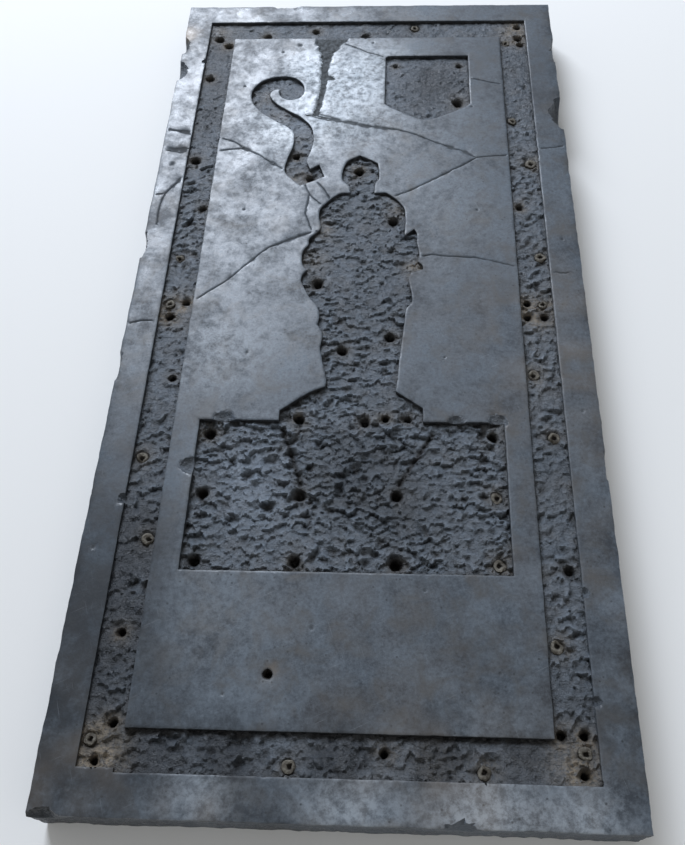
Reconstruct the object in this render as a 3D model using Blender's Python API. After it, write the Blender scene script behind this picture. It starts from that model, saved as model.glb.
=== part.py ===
"""A medieval ledger stone, robbed of its inlaid brasses.

One slab of dark polished limestone lies flat. Sunk into its face are the rough beds of the lost
metal: a fillet round the edge, a robed figure on an inscription panel, a crozier and a shield.
Dowel holes pierce the beds, and some still hold their plug of lead.

Units are metres, +Z is up, +Y runs to the head of the stone, and the origin is the centre of the
underside. A place on the face is given as x, y from the centre of the stone.
"""

import math
from random import Random

import bmesh
import bpy
from mathutils import Vector
from mathutils.geometry import area_tri, delaunay_2d_cdt

# Slab
SLAB_WIDTH = 1.100
SLAB_LENGTH = 2.300
SLAB_THICKNESS = 0.120
ARRIS = 0.004

# Fillet that runs round the edge
RIM_LEFT = 0.0764
RIM_RIGHT = 0.0792
RIM_FOOT = 0.0770
RIM_HEAD = 0.0785
FILLET_WIDTH = 0.0785
FILLET_DEPTH = 0.0090
CORNER_PLATE = 0.070
CORNER_PLATE_RISE = 0.008

# Figure and the panel that it stands on
FIGURE_HEIGHT = 0.830
FIGURE_DEPTH = 0.0095
PANEL_HEIGHT = 0.354
PANEL_DEPTH = 0.0125
PANEL_FROM_LEFT = 0.0574
PANEL_FROM_RIGHT = 0.0546
PANEL_FROM_FOOT = 0.3085

# Crozier
CROZIER_BAND = 0.0540
CROZIER_DEPTH = 0.0100
CROOK_RADIUS = 0.0597
VOLUTE_RADIUS = 0.0360

# Shield
SHIELD_WIDTH = 0.2400
SHIELD_HEIGHT = 0.2720
SHIELD_SIDE = 0.2060
SHIELD_BELLY = 0.0150
SHIELD_POINT_WIDTH = 0.0240
SHIELD_POINT_SHARE = -0.03
SHIELD_DEPTH = 0.0100
SHIELD_FROM_HEAD = 0.0830
SHIELD_FROM_RIGHT = 0.0950

# Dowel holes and the lead that is left in some of them
DOWEL_DEPTH = 0.030
HOLE_SIDES = 8
PLUG_CLEARANCE = 0.0004
PLUG_PROUD = 0.0015
PLUG_EYE_SHARE = 0.42
PLUG_EYE_DEPTH = 0.008

# Dressing of the beds: size of a facet, and how far it strays from the level of the bed
FILLET_FACET = 0.036
FIGURE_FACET = 0.028
PANEL_FACET = 0.030
SHIELD_FACET = 0.034
FILLET_DRESSING = 0.0014
FIGURE_DRESSING = 0.0018
PANEL_DRESSING = 0.0030
SHIELD_DRESSING = 0.0012

# How far a facet's corner strays sideways and how near a wall it comes, as shares of a facet
FACET_SCATTER = 0.20
FACET_FROM_WALL = 0.42

# Slivers below this area, in square metres, are left out of a bed
LEAST_FACET_AREA = 1e-8
SAME_POINT = 1e-6

# How far a cutter stands above the face
ABOVE = 0.010

LEFT = -SLAB_WIDTH / 2
RIGHT = SLAB_WIDTH / 2
FOOT = -SLAB_LENGTH / 2
HEAD = SLAB_LENGTH / 2

FILLET_OUTER = (LEFT + RIM_LEFT, FOOT + RIM_FOOT, RIGHT - RIM_RIGHT, HEAD - RIM_HEAD)
FILLET_INNER = (
    FILLET_OUTER[0] + FILLET_WIDTH,
    FILLET_OUTER[1] + FILLET_WIDTH,
    FILLET_OUTER[2] - FILLET_WIDTH,
    FILLET_OUTER[3] - FILLET_WIDTH,
)
FILLET_LINE = tuple((a + b) / 2 for a, b in zip(FILLET_OUTER, FILLET_INNER))

PANEL_LEFT = FILLET_INNER[0] + PANEL_FROM_LEFT
PANEL_RIGHT = FILLET_INNER[2] - PANEL_FROM_RIGHT
PANEL_FOOT = FILLET_INNER[1] + PANEL_FROM_FOOT
PANEL_HEAD = PANEL_FOOT + PANEL_HEIGHT
FIGURE_FOOT = Vector((0.0, PANEL_HEAD))

# The figure's outline, from the left end of its hem round the head to the right end, in parts of
# which its height has 830. The hem's middle is at 0, 0.
FIGURE_PARTS = 830
FIGURE_OUTLINE = (
    (-161, 0), (-161, 25), (-97, 74), (-62, 90), (-61, 105), (-73, 163), (-79, 195), (-77, 235),
    (-88, 266), (-86, 289), (-93, 318), (-114, 347), (-128, 376), (-137, 400), (-134, 418),
    (-125, 430), (-137, 450), (-140, 473), (-137, 496), (-126, 514), (-125, 533), (-100, 563),
    (-97, 573), (-104, 606), (-101, 637), (-87, 657), (-70, 676), (-52, 690), (-25, 692),
    (-28, 712), (-48, 738), (-50, 752), (-46, 788), (-37, 808), (-5, 830), (30, 811), (45, 800),
    (47, 742), (39, 728), (37, 692), (67, 692), (85, 679), (101, 661), (114, 641), (118, 606),
    (117, 566), (116, 543), (140, 567), (147, 553), (148, 520), (153, 478), (150, 460), (161, 447),
    (162, 434), (133, 422), (127, 404), (130, 379), (135, 353), (134, 330), (122, 314), (117, 272),
    (107, 172), (99, 79), (159, 35), (160, 0),
)

# The crozier, in the figure's parts: the middle line of its band up to the crown of the crook, the
# broken tip of its foot, and the outline of the lug beside the foot
CROZIER_LINE = (
    (-177, 768), (-174, 813), (-165, 853), (-161, 893), (-168, 931), (-192, 962), (-230, 989),
    (-268, 1021), (-291, 1055), (-295, 1083), (-283, 1109), (-262, 1123), (-240, 1127),
)
CROZIER_FOOT = (-160, 718)
CROZIER_LUG = ((-137, 779), (-113, 796), (-98, 751), (-133, 730))
CROOK_CENTRE = (-232, 1095)
VOLUTE_CENTRE = (-208, 1089)

# Start and end angle of the crook's and the volute's arcs, in degrees, and their points
CROOK_SWEEP = (85, 8, 6)
VOLUTE_SWEEP = (-8, -196, 9)

# Dowel holes along each run of the fillet: share of the run from its foot or left end, share of
# the half width off the middle line, radius, and what is in the hole
RUN_HOLES = {
    "left": (
        (0.106, 0.00, 0.011, "open"), (0.202, 0.55, 0.014, "plug"), (0.294, -0.50, 0.014, "plug"),
        (0.395, 0.45, 0.011, "open"), (0.569, -0.35, 0.012, "plug"), (0.652, 0.55, 0.012, "open"),
        (0.737, -0.45, 0.015, "open"), (0.899, -0.45, 0.013, "open"),
    ),
    "right": (
        (0.101, -0.48, 0.015, "plug"), (0.176, 0.46, 0.014, "open"), (0.324, 0.32, 0.014, "plug"),
        (0.403, -0.50, 0.014, "plug"), (0.573, 0.52, 0.015, "plug"), (0.654, -0.52, 0.012, "open"),
        (0.730, 0.48, 0.016, "plug"), (0.811, -0.52, 0.013, "plug"),
    ),
    "head": (
        (0.156, -0.45, 0.014, "open"), (0.325, 0.10, 0.014, "open"), (0.498, -0.50, 0.016, "open"),
        (0.667, 0.42, 0.013, "plug"),
    ),
    "foot": ((0.400, -0.50, 0.014, "plug"), (0.602, 0.20, 0.013, "open"), (0.808, -0.55, 0.014, "plug")),
}

# Dowel holes of the corner plates and of the two plates half way up, as x, y from the place where
# the fillet's middle lines cross, in parts of which the fillet's width has 100
PLATE_HOLES = {
    "foot_left": ((16, 62, 0.011, "open"), (-30, 24, 0.013, "plug"), (-12, -22, 0.012, "open")),
    "foot_right": (
        (-31, 59, 0.011, "open"), (21, 62, 0.011, "open"), (19, 22, 0.014, "plug"),
        (16, -25, 0.011, "open"),
    ),
    "head_left": ((-12, -38, 0.015, "open"), (27, -78, 0.014, "open")),
    "head_right": (
        (22, -45, 0.014, "open"), (-26, -72, 0.012, "plug"), (27, -80, 0.012, "open"),
        (22, 24, 0.011, "open"),
    ),
    "middle_left": ((26, 30, 0.011, "open"), (-24, 24, 0.013, "plug"), (-20, -22, 0.014, "open")),
    "middle_right": (
        (-26, 34, 0.011, "open"), (21, 28, 0.012, "plug"), (-29, -18, 0.012, "open"),
        (21, -18, 0.012, "open"),
    ),
}
PLATE_PARTS = 100
MIDDLE_SHARE = 0.490

# Dowel holes of the figure and the crozier, in the figure's parts
FIGURE_HOLES = (
    (-5, 780, 0.015, "open"), (88, 601, 0.015, "open"), (-98, 396, 0.016, "open"),
    (83, 234, 0.014, "open"), (-27, 195, 0.015, "open"),
)
HEM_HOLES = ((-117, 8, 0.014), (29, 4, 0.013), (76, 12, 0.010), (127, 13, 0.010))
CROZIER_HOLES = ((-179, 838, 0.012, "open"), (-137, 756, 0.012, "open"))

# Dowel holes of the panel, in three rows and four columns
PANEL_SIDE_INSET = 0.0250
PANEL_HEAD_INSET = 0.0300
PANEL_FOOT_INSET = 0.0255
PANEL_INNER_COLUMN = 0.104
PANEL_HOLE_RADIUS = 0.015

# Dowel holes of the shield, as shares of its half width and its height from the top
SHIELD_HOLES = (
    (-0.76, 0.13, 0.008, "open"), (0.78, 0.13, 0.009, "open"), (0.73, 0.69, 0.017, "open"),
)

# A lone hole in the bare field below the panel: x, distance below the panel, and radius
FIELD_HOLE_X = -0.139
FIELD_HOLE_BELOW_PANEL = 0.205
FIELD_HOLE_RADIUS = 0.010

# Panel holes that keep their lead, and those that were never drilled, as row and column
PANEL_PLUGS = ((1, 3), (2, 3))
PANEL_UNDRILLED = ((0, 1), (0, 2))

# The damage below is placed as drawn on a stone of this size
DRAWN_WIDTH = 1.100
DRAWN_LENGTH = 2.300

# Cracks in the face, as x, y and width at each kink
CRACK_DEPTH_SHARE = 0.45
CRACK_DEPTH_LEAST = 0.0030
CRACK_DEPTH_MOST = 0.0075
CRACK_ABOVE = 0.0015
CRACKS = (
    ((-0.103, 0.994, 0.105), (-0.112, 0.955, 0.062), (-0.114, 0.925, 0.034), (-0.115, 0.890, 0.028),
     (-0.117, 0.820, 0.024), (-0.121, 0.742, 0.015), (-0.133, 0.660, 0.016)),
    ((-0.118, 0.817, 0.020), (-0.090, 0.812, 0.008)),
    ((-0.160, 0.658, 0.007), (-0.133, 0.655, 0.014), (-0.058, 0.633, 0.013), (0.012, 0.613, 0.010),
     (0.094, 0.598, 0.008), (0.148, 0.579, 0.006), (0.202, 0.545, 0.007), (0.268, 0.515, 0.009),
     (0.307, 0.489, 0.007), (0.374, 0.497, 0.005), (0.400, 0.505, 0.005)),
    ((0.465, 0.521, 0.006), (0.505, 0.525, 0.006), (0.560, 0.536, 0.006)),
    ((0.307, 0.489, 0.006), (0.253, 0.451, 0.006), (0.148, 0.378, 0.006), (0.080, 0.345, 0.005)),
    ((-0.060, 0.965, 0.006), (0.003, 0.929, 0.005), (0.075, 0.895, 0.005)),
    ((0.285, 0.817, 0.005), (0.347, 0.796, 0.005), (0.400, 0.782, 0.005)),
    ((-0.560, 0.607, 0.010), (-0.511, 0.595, 0.011), (-0.465, 0.588, 0.009)),
    ((-0.400, 0.569, 0.005), (-0.351, 0.552, 0.006), (-0.321, 0.526, 0.008), (-0.273, 0.496, 0.006),
     (-0.236, 0.466, 0.008), (-0.200, 0.441, 0.007)),
    ((-0.400, 0.517, 0.005), (-0.361, 0.522, 0.006), (-0.321, 0.526, 0.006)),
    ((-0.522, 0.523, 0.016), (-0.465, 0.517, 0.022)),
    ((-0.560, 0.353, 0.005), (-0.516, 0.355, 0.006), (-0.498, 0.388, 0.007), (-0.470, 0.424, 0.010)),
    ((-0.516, 0.355, 0.005), (-0.524, 0.303, 0.006), (-0.521, 0.242, 0.003)),
    ((-0.150, 0.392, 0.006), (-0.131, 0.351, 0.005), (-0.095, 0.312, 0.005)),
    ((-0.120, 0.405, 0.006), (-0.099, 0.376, 0.005), (-0.078, 0.336, 0.005)),
    ((-0.134, 0.350, 0.005), (-0.139, 0.285, 0.005), (-0.120, 0.225, 0.005)),
    ((-0.092, 0.232, 0.006), (-0.152, 0.211, 0.007), (-0.224, 0.171, 0.006), (-0.280, 0.113, 0.006),
     (-0.323, 0.060, 0.005), (-0.400, -0.006, 0.003)),
    ((0.145, 0.140, 0.005), (0.184, 0.149, 0.005), (0.295, 0.140, 0.005), (0.400, 0.110, 0.004)),
    ((0.465, 0.099, 0.004), (0.515, 0.090, 0.003)),
    ((-0.560, -0.071, 0.004), (-0.521, -0.062, 0.005), (-0.465, -0.058, 0.006)),
)

# Chips off the top edges: side, place along it, half length, reach inwards and depth
EDGE_CHIPS = (
    ("right", 0.665, 0.060, 0.030, 0.050), ("right", 0.930, 0.050, 0.007, 0.030),
    ("right", -0.440, 0.045, 0.005, 0.016), ("left", 0.965, 0.035, 0.018, 0.030),
    ("left", 0.850, 0.040, 0.024, 0.020), ("left", 0.180, 0.042, 0.012, 0.030),
    ("left", -0.190, 0.038, 0.009, 0.016), ("foot", 0.220, 0.028, 0.010, 0.020),
    ("foot", -0.520, 0.030, 0.014, 0.030), ("head", -0.250, 0.040, 0.008, 0.020),
)

# Bites out of the edge of a bed: x, y and radius
BED_BITES = (
    (-0.345, -0.445, 0.021), (-0.283, -0.333, 0.023), (0.325, -0.332, 0.019), (-0.476, -0.528, 0.010),
    (0.474, -0.717, 0.010), (0.473, -0.927, 0.009), (-0.474, 0.893, 0.008), (0.232, -0.335, 0.018),
)
BED_BITE_DEPTH = 0.006

# A flake's surface lies between these shares of its half sizes
LUMP_LEAST = 0.82
LUMP_MOST = 1.10


def make_material(name, colour, roughness, metallic=0.0):
    material = bpy.data.materials.new(name)
    material.use_nodes = True
    shader = material.node_tree.nodes["Principled BSDF"]
    shader.inputs["Base Color"].default_value = (*colour, 1.0)
    shader.inputs["Roughness"].default_value = roughness
    shader.inputs["Metallic"].default_value = metallic
    return material


def add_object(name, mesh_builder, material=None):
    """Turns a bmesh into a named object of the scene."""
    bmesh.ops.recalc_face_normals(mesh_builder, faces=mesh_builder.faces)
    mesh = bpy.data.meshes.new(name)
    mesh_builder.to_mesh(mesh)
    mesh_builder.free()
    shape = bpy.data.objects.new(name, mesh)
    bpy.context.scene.collection.objects.link(shape)
    if material:
        mesh.materials.append(material)
    return shape


def add_cutter(name, mesh_builder, group):
    """Keeps a cutting shape out of the finished stone and puts it in a group of cutters."""
    cutter = add_object(name, mesh_builder)
    cutter.hide_render = True
    cutter.display_type = "WIRE"
    bpy.context.scene.collection.objects.unlink(cutter)
    group.objects.link(cutter)
    return cutter


def cutter_group(name):
    group = bpy.data.collections.new(name)
    bpy.context.scene.collection.children.link(group)
    return group


def cut(shape, group):
    boolean = shape.modifiers.new(group.name, "BOOLEAN")
    boolean.operation = "DIFFERENCE"
    boolean.solver = "EXACT"
    boolean.operand_type = "COLLECTION"
    boolean.collection = group


def rectangle(west, south, east, north):
    return [Vector((west, south)), Vector((east, south)), Vector((east, north)), Vector((west, north))]


def subdivided(loop, step):
    """Adds points to the long sides of a closed outline."""
    points = []
    for start, end in zip(loop, loop[1:] + loop[:1]):
        count = max(1, round((end - start).length / step))
        points += [start.lerp(end, index / count) for index in range(count)]
    return points


def inside(point, loop):
    crossings = 0
    for start, end in zip(loop, loop[1:] + loop[:1]):
        if (start.y > point.y) != (end.y > point.y):
            x = start.x + (point.y - start.y) * (end.x - start.x) / (end.y - start.y)
            crossings += x > point.x
    return crossings % 2 == 1


def distance_to_loop(point, loop):
    nearest = math.inf
    for start, end in zip(loop, loop[1:] + loop[:1]):
        along = end - start
        share = max(0.0, min(1.0, (point - start).dot(along) / along.length_squared))
        nearest = min(nearest, (start + along * share - point).length)
    return nearest


def facet_points(loops, facet, draw):
    """Scatters points over the bed inside the outlines, about one facet apart."""
    outer = loops[0]
    west = min(point.x for point in outer)
    east = max(point.x for point in outer)
    south = min(point.y for point in outer)
    north = max(point.y for point in outer)
    points = []
    row_height = facet * math.sqrt(3) / 2
    for row in range(1, int((north - south) / row_height) + 1):
        shift = facet / 2 if row % 2 else 0.0
        for column in range(int((east - west) / facet) + 1):
            x = west + shift + column * facet + draw.uniform(-FACET_SCATTER, FACET_SCATTER) * facet
            y = south + row * row_height + draw.uniform(-FACET_SCATTER, FACET_SCATTER) * facet
            point = Vector((x, y))
            if sum(inside(point, loop) for loop in loops) != 1:
                continue
            if min(distance_to_loop(point, loop) for loop in loops) > facet * FACET_FROM_WALL:
                points.append(point)
    return points


def bed_cutter(name, loops, facet, depth_at, seed, group):
    """Cuts a bed: straight walls down from the outlines, and a floor of rough facets.

    The first outline is the outer one; any other is an island that stays standing. The bed's depth
    at a point is given by depth_at, from the point and a random stray between -1 and 1.
    """
    draw = Random(seed)
    points = [point for loop in loops for point in loop]
    edges = []
    for loop in loops:
        first = len(edges)
        count = len(loop)
        edges += [(first + index, first + (index + 1) % count) for index in range(count)]
    points += facet_points(loops, facet, draw)
    flat, _, faces, _, _, _ = delaunay_2d_cdt(points, edges, [], 0, SAME_POINT)
    builder = bmesh.new()
    floor = []
    lid = []
    for point in flat:
        level = SLAB_THICKNESS - depth_at(point, draw.uniform(-1.0, 1.0))
        floor.append(builder.verts.new((point.x, point.y, level)))
        lid.append(builder.verts.new((point.x, point.y, SLAB_THICKNESS + ABOVE)))
    rim = {}
    for face in faces:
        corners = [flat[index] for index in face]
        centre = sum(corners, Vector((0.0, 0.0))) / len(face)
        if sum(inside(centre, loop) for loop in loops) != 1 or area_tri(*corners) < LEAST_FACET_AREA:
            continue
        builder.faces.new([floor[index] for index in reversed(face)])
        builder.faces.new([lid[index] for index in face])
        for start, end in zip(face, face[1:] + face[:1]):
            if rim.pop((end, start), None) is None:
                rim[start, end] = True
    for start, end in rim:
        builder.faces.new((floor[start], floor[end], lid[end], lid[start]))
    loose = [vertex for vertex in builder.verts if not vertex.link_faces]
    bmesh.ops.delete(builder, geom=loose, context="VERTS")
    return add_cutter(name, builder, group)


def hole_cutter(name, place, radius, bed_depth, group):
    """Drills a dowel hole down from the bed; its flats line up with those of a plug."""
    top = SLAB_THICKNESS + ABOVE
    bottom = SLAB_THICKNESS - bed_depth - DOWEL_DEPTH
    builder = bmesh.new()
    bmesh.ops.create_cone(
        builder, cap_ends=True, segments=HOLE_SIDES, radius1=radius, radius2=radius, depth=top - bottom,
    )
    bmesh.ops.translate(builder, verts=builder.verts, vec=(place.x, place.y, (top + bottom) / 2))
    return add_cutter(name, builder, group)


def lead_plug(name, place, radius, bed_depth, material):
    """A plug of lead, dished round the eye that the lost rivet left."""
    reach = radius - PLUG_CLEARANCE / math.cos(math.pi / HOLE_SIDES)
    bottom = SLAB_THICKNESS - bed_depth - DOWEL_DEPTH + PLUG_CLEARANCE
    top = SLAB_THICKNESS - bed_depth + PLUG_PROUD
    eye = reach * PLUG_EYE_SHARE
    profile = (
        (reach, bottom),
        (reach, top - PLUG_PROUD),
        ((reach + eye) / 2, top),
        (eye, top - PLUG_EYE_DEPTH),
    )
    builder = bmesh.new()
    rings = []
    for ring_radius, level in profile:
        ring = bmesh.ops.create_circle(builder, segments=HOLE_SIDES, radius=ring_radius)["verts"]
        bmesh.ops.translate(builder, verts=ring, vec=(place.x, place.y, level))
        rings.append(ring)
    for lower, upper in zip(rings, rings[1:]):
        for index in range(HOLE_SIDES):
            following = (index + 1) % HOLE_SIDES
            builder.faces.new((lower[index], lower[following], upper[following], upper[index]))
    builder.faces.new(rings[0])
    builder.faces.new(rings[-1])
    return add_object(name, builder, material)


def on_face(x, y):
    """A place of the damage, which is drawn for a stone of one size, on the stone as it is."""
    return Vector((x * SLAB_WIDTH / DRAWN_WIDTH, y * SLAB_LENGTH / DRAWN_LENGTH))


def crack_cutter(name, kinks, group):
    """Cuts a crack as a groove of V section that follows its kinks."""
    builder = bmesh.new()
    sections = []
    places = [on_face(x, y) for x, y, _ in kinks]
    for index, (place, kink) in enumerate(zip(places, kinks)):
        before = places[max(index - 1, 0)]
        after = places[min(index + 1, len(places) - 1)]
        across = (after - before).normalized().orthogonal()
        half = kink[2] / 2
        depth = max(CRACK_DEPTH_LEAST, min(CRACK_DEPTH_MOST, kink[2] * CRACK_DEPTH_SHARE))
        # The groove's sides run on above the face, so they widen there by the same slope
        flare = half * (depth + CRACK_ABOVE) / depth
        low = SLAB_THICKNESS - depth
        high = SLAB_THICKNESS + CRACK_ABOVE
        sections.append((
            builder.verts.new((*(place + across * flare), high)),
            builder.verts.new((*place, low)),
            builder.verts.new((*(place - across * flare), high)),
        ))
    for one, other in zip(sections, sections[1:]):
        for index in range(3):
            following = (index + 1) % 3
            builder.faces.new((one[index], one[following], other[following], other[index]))
    builder.faces.new(sections[0])
    builder.faces.new(sections[-1])
    return add_cutter(name, builder, group)


def lump_cutter(name, place, reach, seed, group):
    """Knocks off a flake: a rough lump of half sizes reach."""
    draw = Random(seed)
    builder = bmesh.new()
    bmesh.ops.create_icosphere(builder, subdivisions=1, radius=1.0)
    for vertex in builder.verts:
        stretch = draw.uniform(LUMP_LEAST, LUMP_MOST)
        vertex.co = Vector(place) + Vector([part * size * stretch for part, size in zip(vertex.co, reach)])
    return add_cutter(name, builder, group)


def edge_chip(name, side, along, half_length, inwards, depth, seed, group):
    there = on_face(along, along)
    place = {
        "left": (LEFT, there.y, SLAB_THICKNESS),
        "right": (RIGHT, there.y, SLAB_THICKNESS),
        "foot": (there.x, FOOT, SLAB_THICKNESS),
        "head": (there.x, HEAD, SLAB_THICKNESS),
    }[side]
    if side in ("left", "right"):
        reach = (inwards, half_length, depth)
    else:
        reach = (half_length, inwards, depth)
    return lump_cutter(name, place, reach, seed, group)


def on_figure(part):
    """A place given in the figure's parts, as x, y on the stone."""
    return FIGURE_FOOT + Vector(part[:2]) * (FIGURE_HEIGHT / FIGURE_PARTS)


def figure_loop():
    """The outline of the figure and its panel, which are one bed."""
    corners = [Vector((PANEL_RIGHT, PANEL_HEAD)), Vector((PANEL_RIGHT, PANEL_FOOT))]
    corners += [Vector((PANEL_LEFT, PANEL_FOOT)), Vector((PANEL_LEFT, PANEL_HEAD))]
    return [on_figure(part) for part in FIGURE_OUTLINE] + corners


def arc(centre, radius, start, end, count):
    points = []
    for index in range(count):
        angle = math.radians(start + (end - start) * index / (count - 1))
        points.append(centre + radius * Vector((math.cos(angle), math.sin(angle))))
    return points


def crozier_loop():
    """The crozier's outline: both sides of a band of one width, and the volute that ends it."""
    line = [on_figure(part) for part in CROZIER_LINE]
    outer = []
    inner = []
    for index, place in enumerate(line):
        before = line[max(index - 1, 0)]
        after = line[min(index + 1, len(line) - 1)]
        across = (after - before).normalized().orthogonal() * (CROZIER_BAND / 2)
        outer.append(place + across)
        inner.append(place - across)
    crook = arc(on_figure(CROOK_CENTRE), CROOK_RADIUS, *CROOK_SWEEP)
    volute = arc(on_figure(VOLUTE_CENTRE), VOLUTE_RADIUS, *VOLUTE_SWEEP)
    lug = [on_figure(part) for part in CROZIER_LUG]
    # The inner side ends where it meets the volute above and the lug below
    shaft = inner[-2:0:-1]
    return outer + crook + volute + shaft + lug + [on_figure(CROZIER_FOOT)]


def shield_loop():
    """A shield with straight sides and a blunt point."""
    right = FILLET_INNER[2] - SHIELD_FROM_RIGHT
    left = right - SHIELD_WIDTH
    top = FILLET_INNER[3] - SHIELD_FROM_HEAD
    shoulder = top - SHIELD_SIDE
    point = Vector(((left + right) / 2, top - SHIELD_HEIGHT))
    point.x += SHIELD_POINT_SHARE * SHIELD_WIDTH / 2
    half_point = Vector((SHIELD_POINT_WIDTH / 2, 0.0))
    belly = shoulder - SHIELD_BELLY
    return [
        Vector((left, top - SHIELD_BELLY / 2)), Vector((left + SHIELD_BELLY / 2, top)),
        Vector((right, top)), Vector((right, shoulder)), Vector((right - SHIELD_BELLY, belly)),
        point + half_point, point - half_point, Vector((left + SHIELD_BELLY, belly)),
        Vector((left, shoulder)),
    ]


def fillet_loops():
    """Both outlines of the fillet. The plate at the left corner of the foot was set a little high."""
    west, south, east, north = FILLET_OUTER
    high = south + CORNER_PLATE_RISE
    plate_end = west + CORNER_PLATE
    outer = [
        Vector((west, high)), Vector((plate_end, high)), Vector((plate_end, south)),
        Vector((east, south)), Vector((east, north)), Vector((west, north)),
    ]
    return [subdivided(outer, FILLET_FACET), subdivided(rectangle(*FILLET_INNER), FILLET_FACET)]


def run_place(run, share, offset):
    """A place on one run of the fillet, from shares of its length and of its half width."""
    west, south, east, north = FILLET_LINE
    shift = offset * FILLET_WIDTH / 2
    return {
        "left": Vector((west + shift, south + share * (north - south))),
        "right": Vector((east + shift, south + share * (north - south))),
        "head": Vector((west + share * (east - west), north + shift)),
        "foot": Vector((west + share * (east - west), south + shift)),
    }[run]


def plate_centre(plate):
    west, south, east, north = FILLET_LINE
    middle = south + MIDDLE_SHARE * (north - south)
    return {
        "foot_left": Vector((west, south)),
        "foot_right": Vector((east, south)),
        "head_left": Vector((west, north)),
        "head_right": Vector((east, north)),
        "middle_left": Vector((west, middle)),
        "middle_right": Vector((east, middle)),
    }[plate]


def all_holes():
    """Every dowel hole as its name, place, radius, the depth of its bed and what is in it."""
    holes = []
    for run, rows in RUN_HOLES.items():
        for number, (share, offset, radius, kind) in enumerate(rows, 1):
            place = run_place(run, share, offset)
            holes.append((f"{run}_{number}", place, radius, FILLET_DEPTH, kind))
    for plate, rows in PLATE_HOLES.items():
        for number, (x, y, radius, kind) in enumerate(rows, 1):
            place = plate_centre(plate) + Vector((x, y)) * (FILLET_WIDTH / PLATE_PARTS)
            holes.append((f"{plate}_{number}", place, radius, FILLET_DEPTH, kind))
    for number, (x, y, radius, kind) in enumerate(FIGURE_HOLES, 1):
        holes.append((f"figure_{number}", on_figure((x, y)), radius, FIGURE_DEPTH, kind))
    for number, (x, y, radius) in enumerate(HEM_HOLES, 1):
        holes.append((f"hem_{number}", on_figure((x, y)), radius, FIGURE_DEPTH, "open"))
    for number, (x, y, radius, kind) in enumerate(CROZIER_HOLES, 1):
        holes.append((f"crozier_{number}", on_figure((x, y)), radius, CROZIER_DEPTH, kind))
    rows = (PANEL_HEAD - PANEL_HEAD_INSET, (PANEL_HEAD + PANEL_FOOT) / 2, PANEL_FOOT + PANEL_FOOT_INSET)
    columns = (
        PANEL_LEFT + PANEL_SIDE_INSET, -PANEL_INNER_COLUMN, PANEL_INNER_COLUMN,
        PANEL_RIGHT - PANEL_SIDE_INSET,
    )
    for row, y in enumerate(rows):
        for column, x in enumerate(columns):
            if (row, column) in PANEL_UNDRILLED:
                continue
            kind = "plug" if (row, column) in PANEL_PLUGS else "open"
            place = Vector((x, y))
            holes.append((f"panel_{row}_{column}", place, PANEL_HOLE_RADIUS, PANEL_DEPTH, kind))
    right = FILLET_INNER[2] - SHIELD_FROM_RIGHT
    top = FILLET_INNER[3] - SHIELD_FROM_HEAD
    for number, (x, y, radius, kind) in enumerate(SHIELD_HOLES, 1):
        place = Vector((right - SHIELD_WIDTH / 2 + x * SHIELD_WIDTH / 2, top - y * SHIELD_HEIGHT))
        holes.append((f"shield_{number}", place, radius, SHIELD_DEPTH, kind))
    lone = Vector((FIELD_HOLE_X, PANEL_FOOT - FIELD_HOLE_BELOW_PANEL))
    holes.append(("field", lone, FIELD_HOLE_RADIUS, 0.0, "open"))
    return holes


def build_slab(material):
    builder = bmesh.new()
    bmesh.ops.create_cube(builder, size=1.0)
    bmesh.ops.scale(builder, verts=builder.verts, vec=(SLAB_WIDTH, SLAB_LENGTH, SLAB_THICKNESS))
    bmesh.ops.translate(builder, verts=builder.verts, vec=(0.0, 0.0, SLAB_THICKNESS / 2))
    top_edges = [edge for edge in builder.edges if min(vertex.co.z for vertex in edge.verts) > ARRIS]
    bmesh.ops.bevel(builder, geom=top_edges, offset=ARRIS, segments=1, affect="EDGES")
    return add_object("slab", builder, material)


def fillet_bed_depth(point, stray):
    return FILLET_DEPTH + stray * FILLET_DRESSING


def figure_bed_depth(point, stray):
    """The panel is cut deeper and rougher than the figure above it."""
    if point.y < PANEL_HEAD:
        return PANEL_DEPTH + stray * PANEL_DRESSING
    return FIGURE_DEPTH + stray * FIGURE_DRESSING


def crozier_bed_depth(point, stray):
    return CROZIER_DEPTH + stray * SHIELD_DRESSING


def shield_bed_depth(point, stray):
    return SHIELD_DEPTH + stray * SHIELD_DRESSING


def cut_beds(slab):
    beds = cutter_group("beds")
    figure = subdivided(figure_loop(), PANEL_FACET)
    shield = subdivided(shield_loop(), SHIELD_FACET)
    bed_cutter("fillet_bed", fillet_loops(), FILLET_FACET, fillet_bed_depth, 1, beds)
    bed_cutter("figure_bed", [figure], FIGURE_FACET, figure_bed_depth, 2, beds)
    bed_cutter("crozier_bed", [crozier_loop()], SHIELD_FACET, crozier_bed_depth, 3, beds)
    bed_cutter("shield_bed", [shield], SHIELD_FACET, shield_bed_depth, 4, beds)
    cut(slab, beds)


def cut_flakes(slab):
    chips = cutter_group("chips")
    for number, chip in enumerate(EDGE_CHIPS, 1):
        edge_chip(f"chip_{number}", *chip, number, chips)
    cut(slab, chips)
    bites = cutter_group("bites")
    for number, (x, y, radius) in enumerate(BED_BITES, 1):
        reach = (radius, radius, BED_BITE_DEPTH)
        lump_cutter(f"bite_{number}", (*on_face(x, y), SLAB_THICKNESS), reach, number, bites)
    cut(slab, bites)


def drill_holes(slab, lead):
    drilled = cutter_group("dowel_holes")
    for name, place, radius, bed_depth, kind in all_holes():
        hole_cutter(f"hole_{name}", place, radius, bed_depth, drilled)
        if kind == "plug":
            lead_plug(f"lead_plug_{name}", place, radius, bed_depth, lead)
    cut(slab, drilled)


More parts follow.
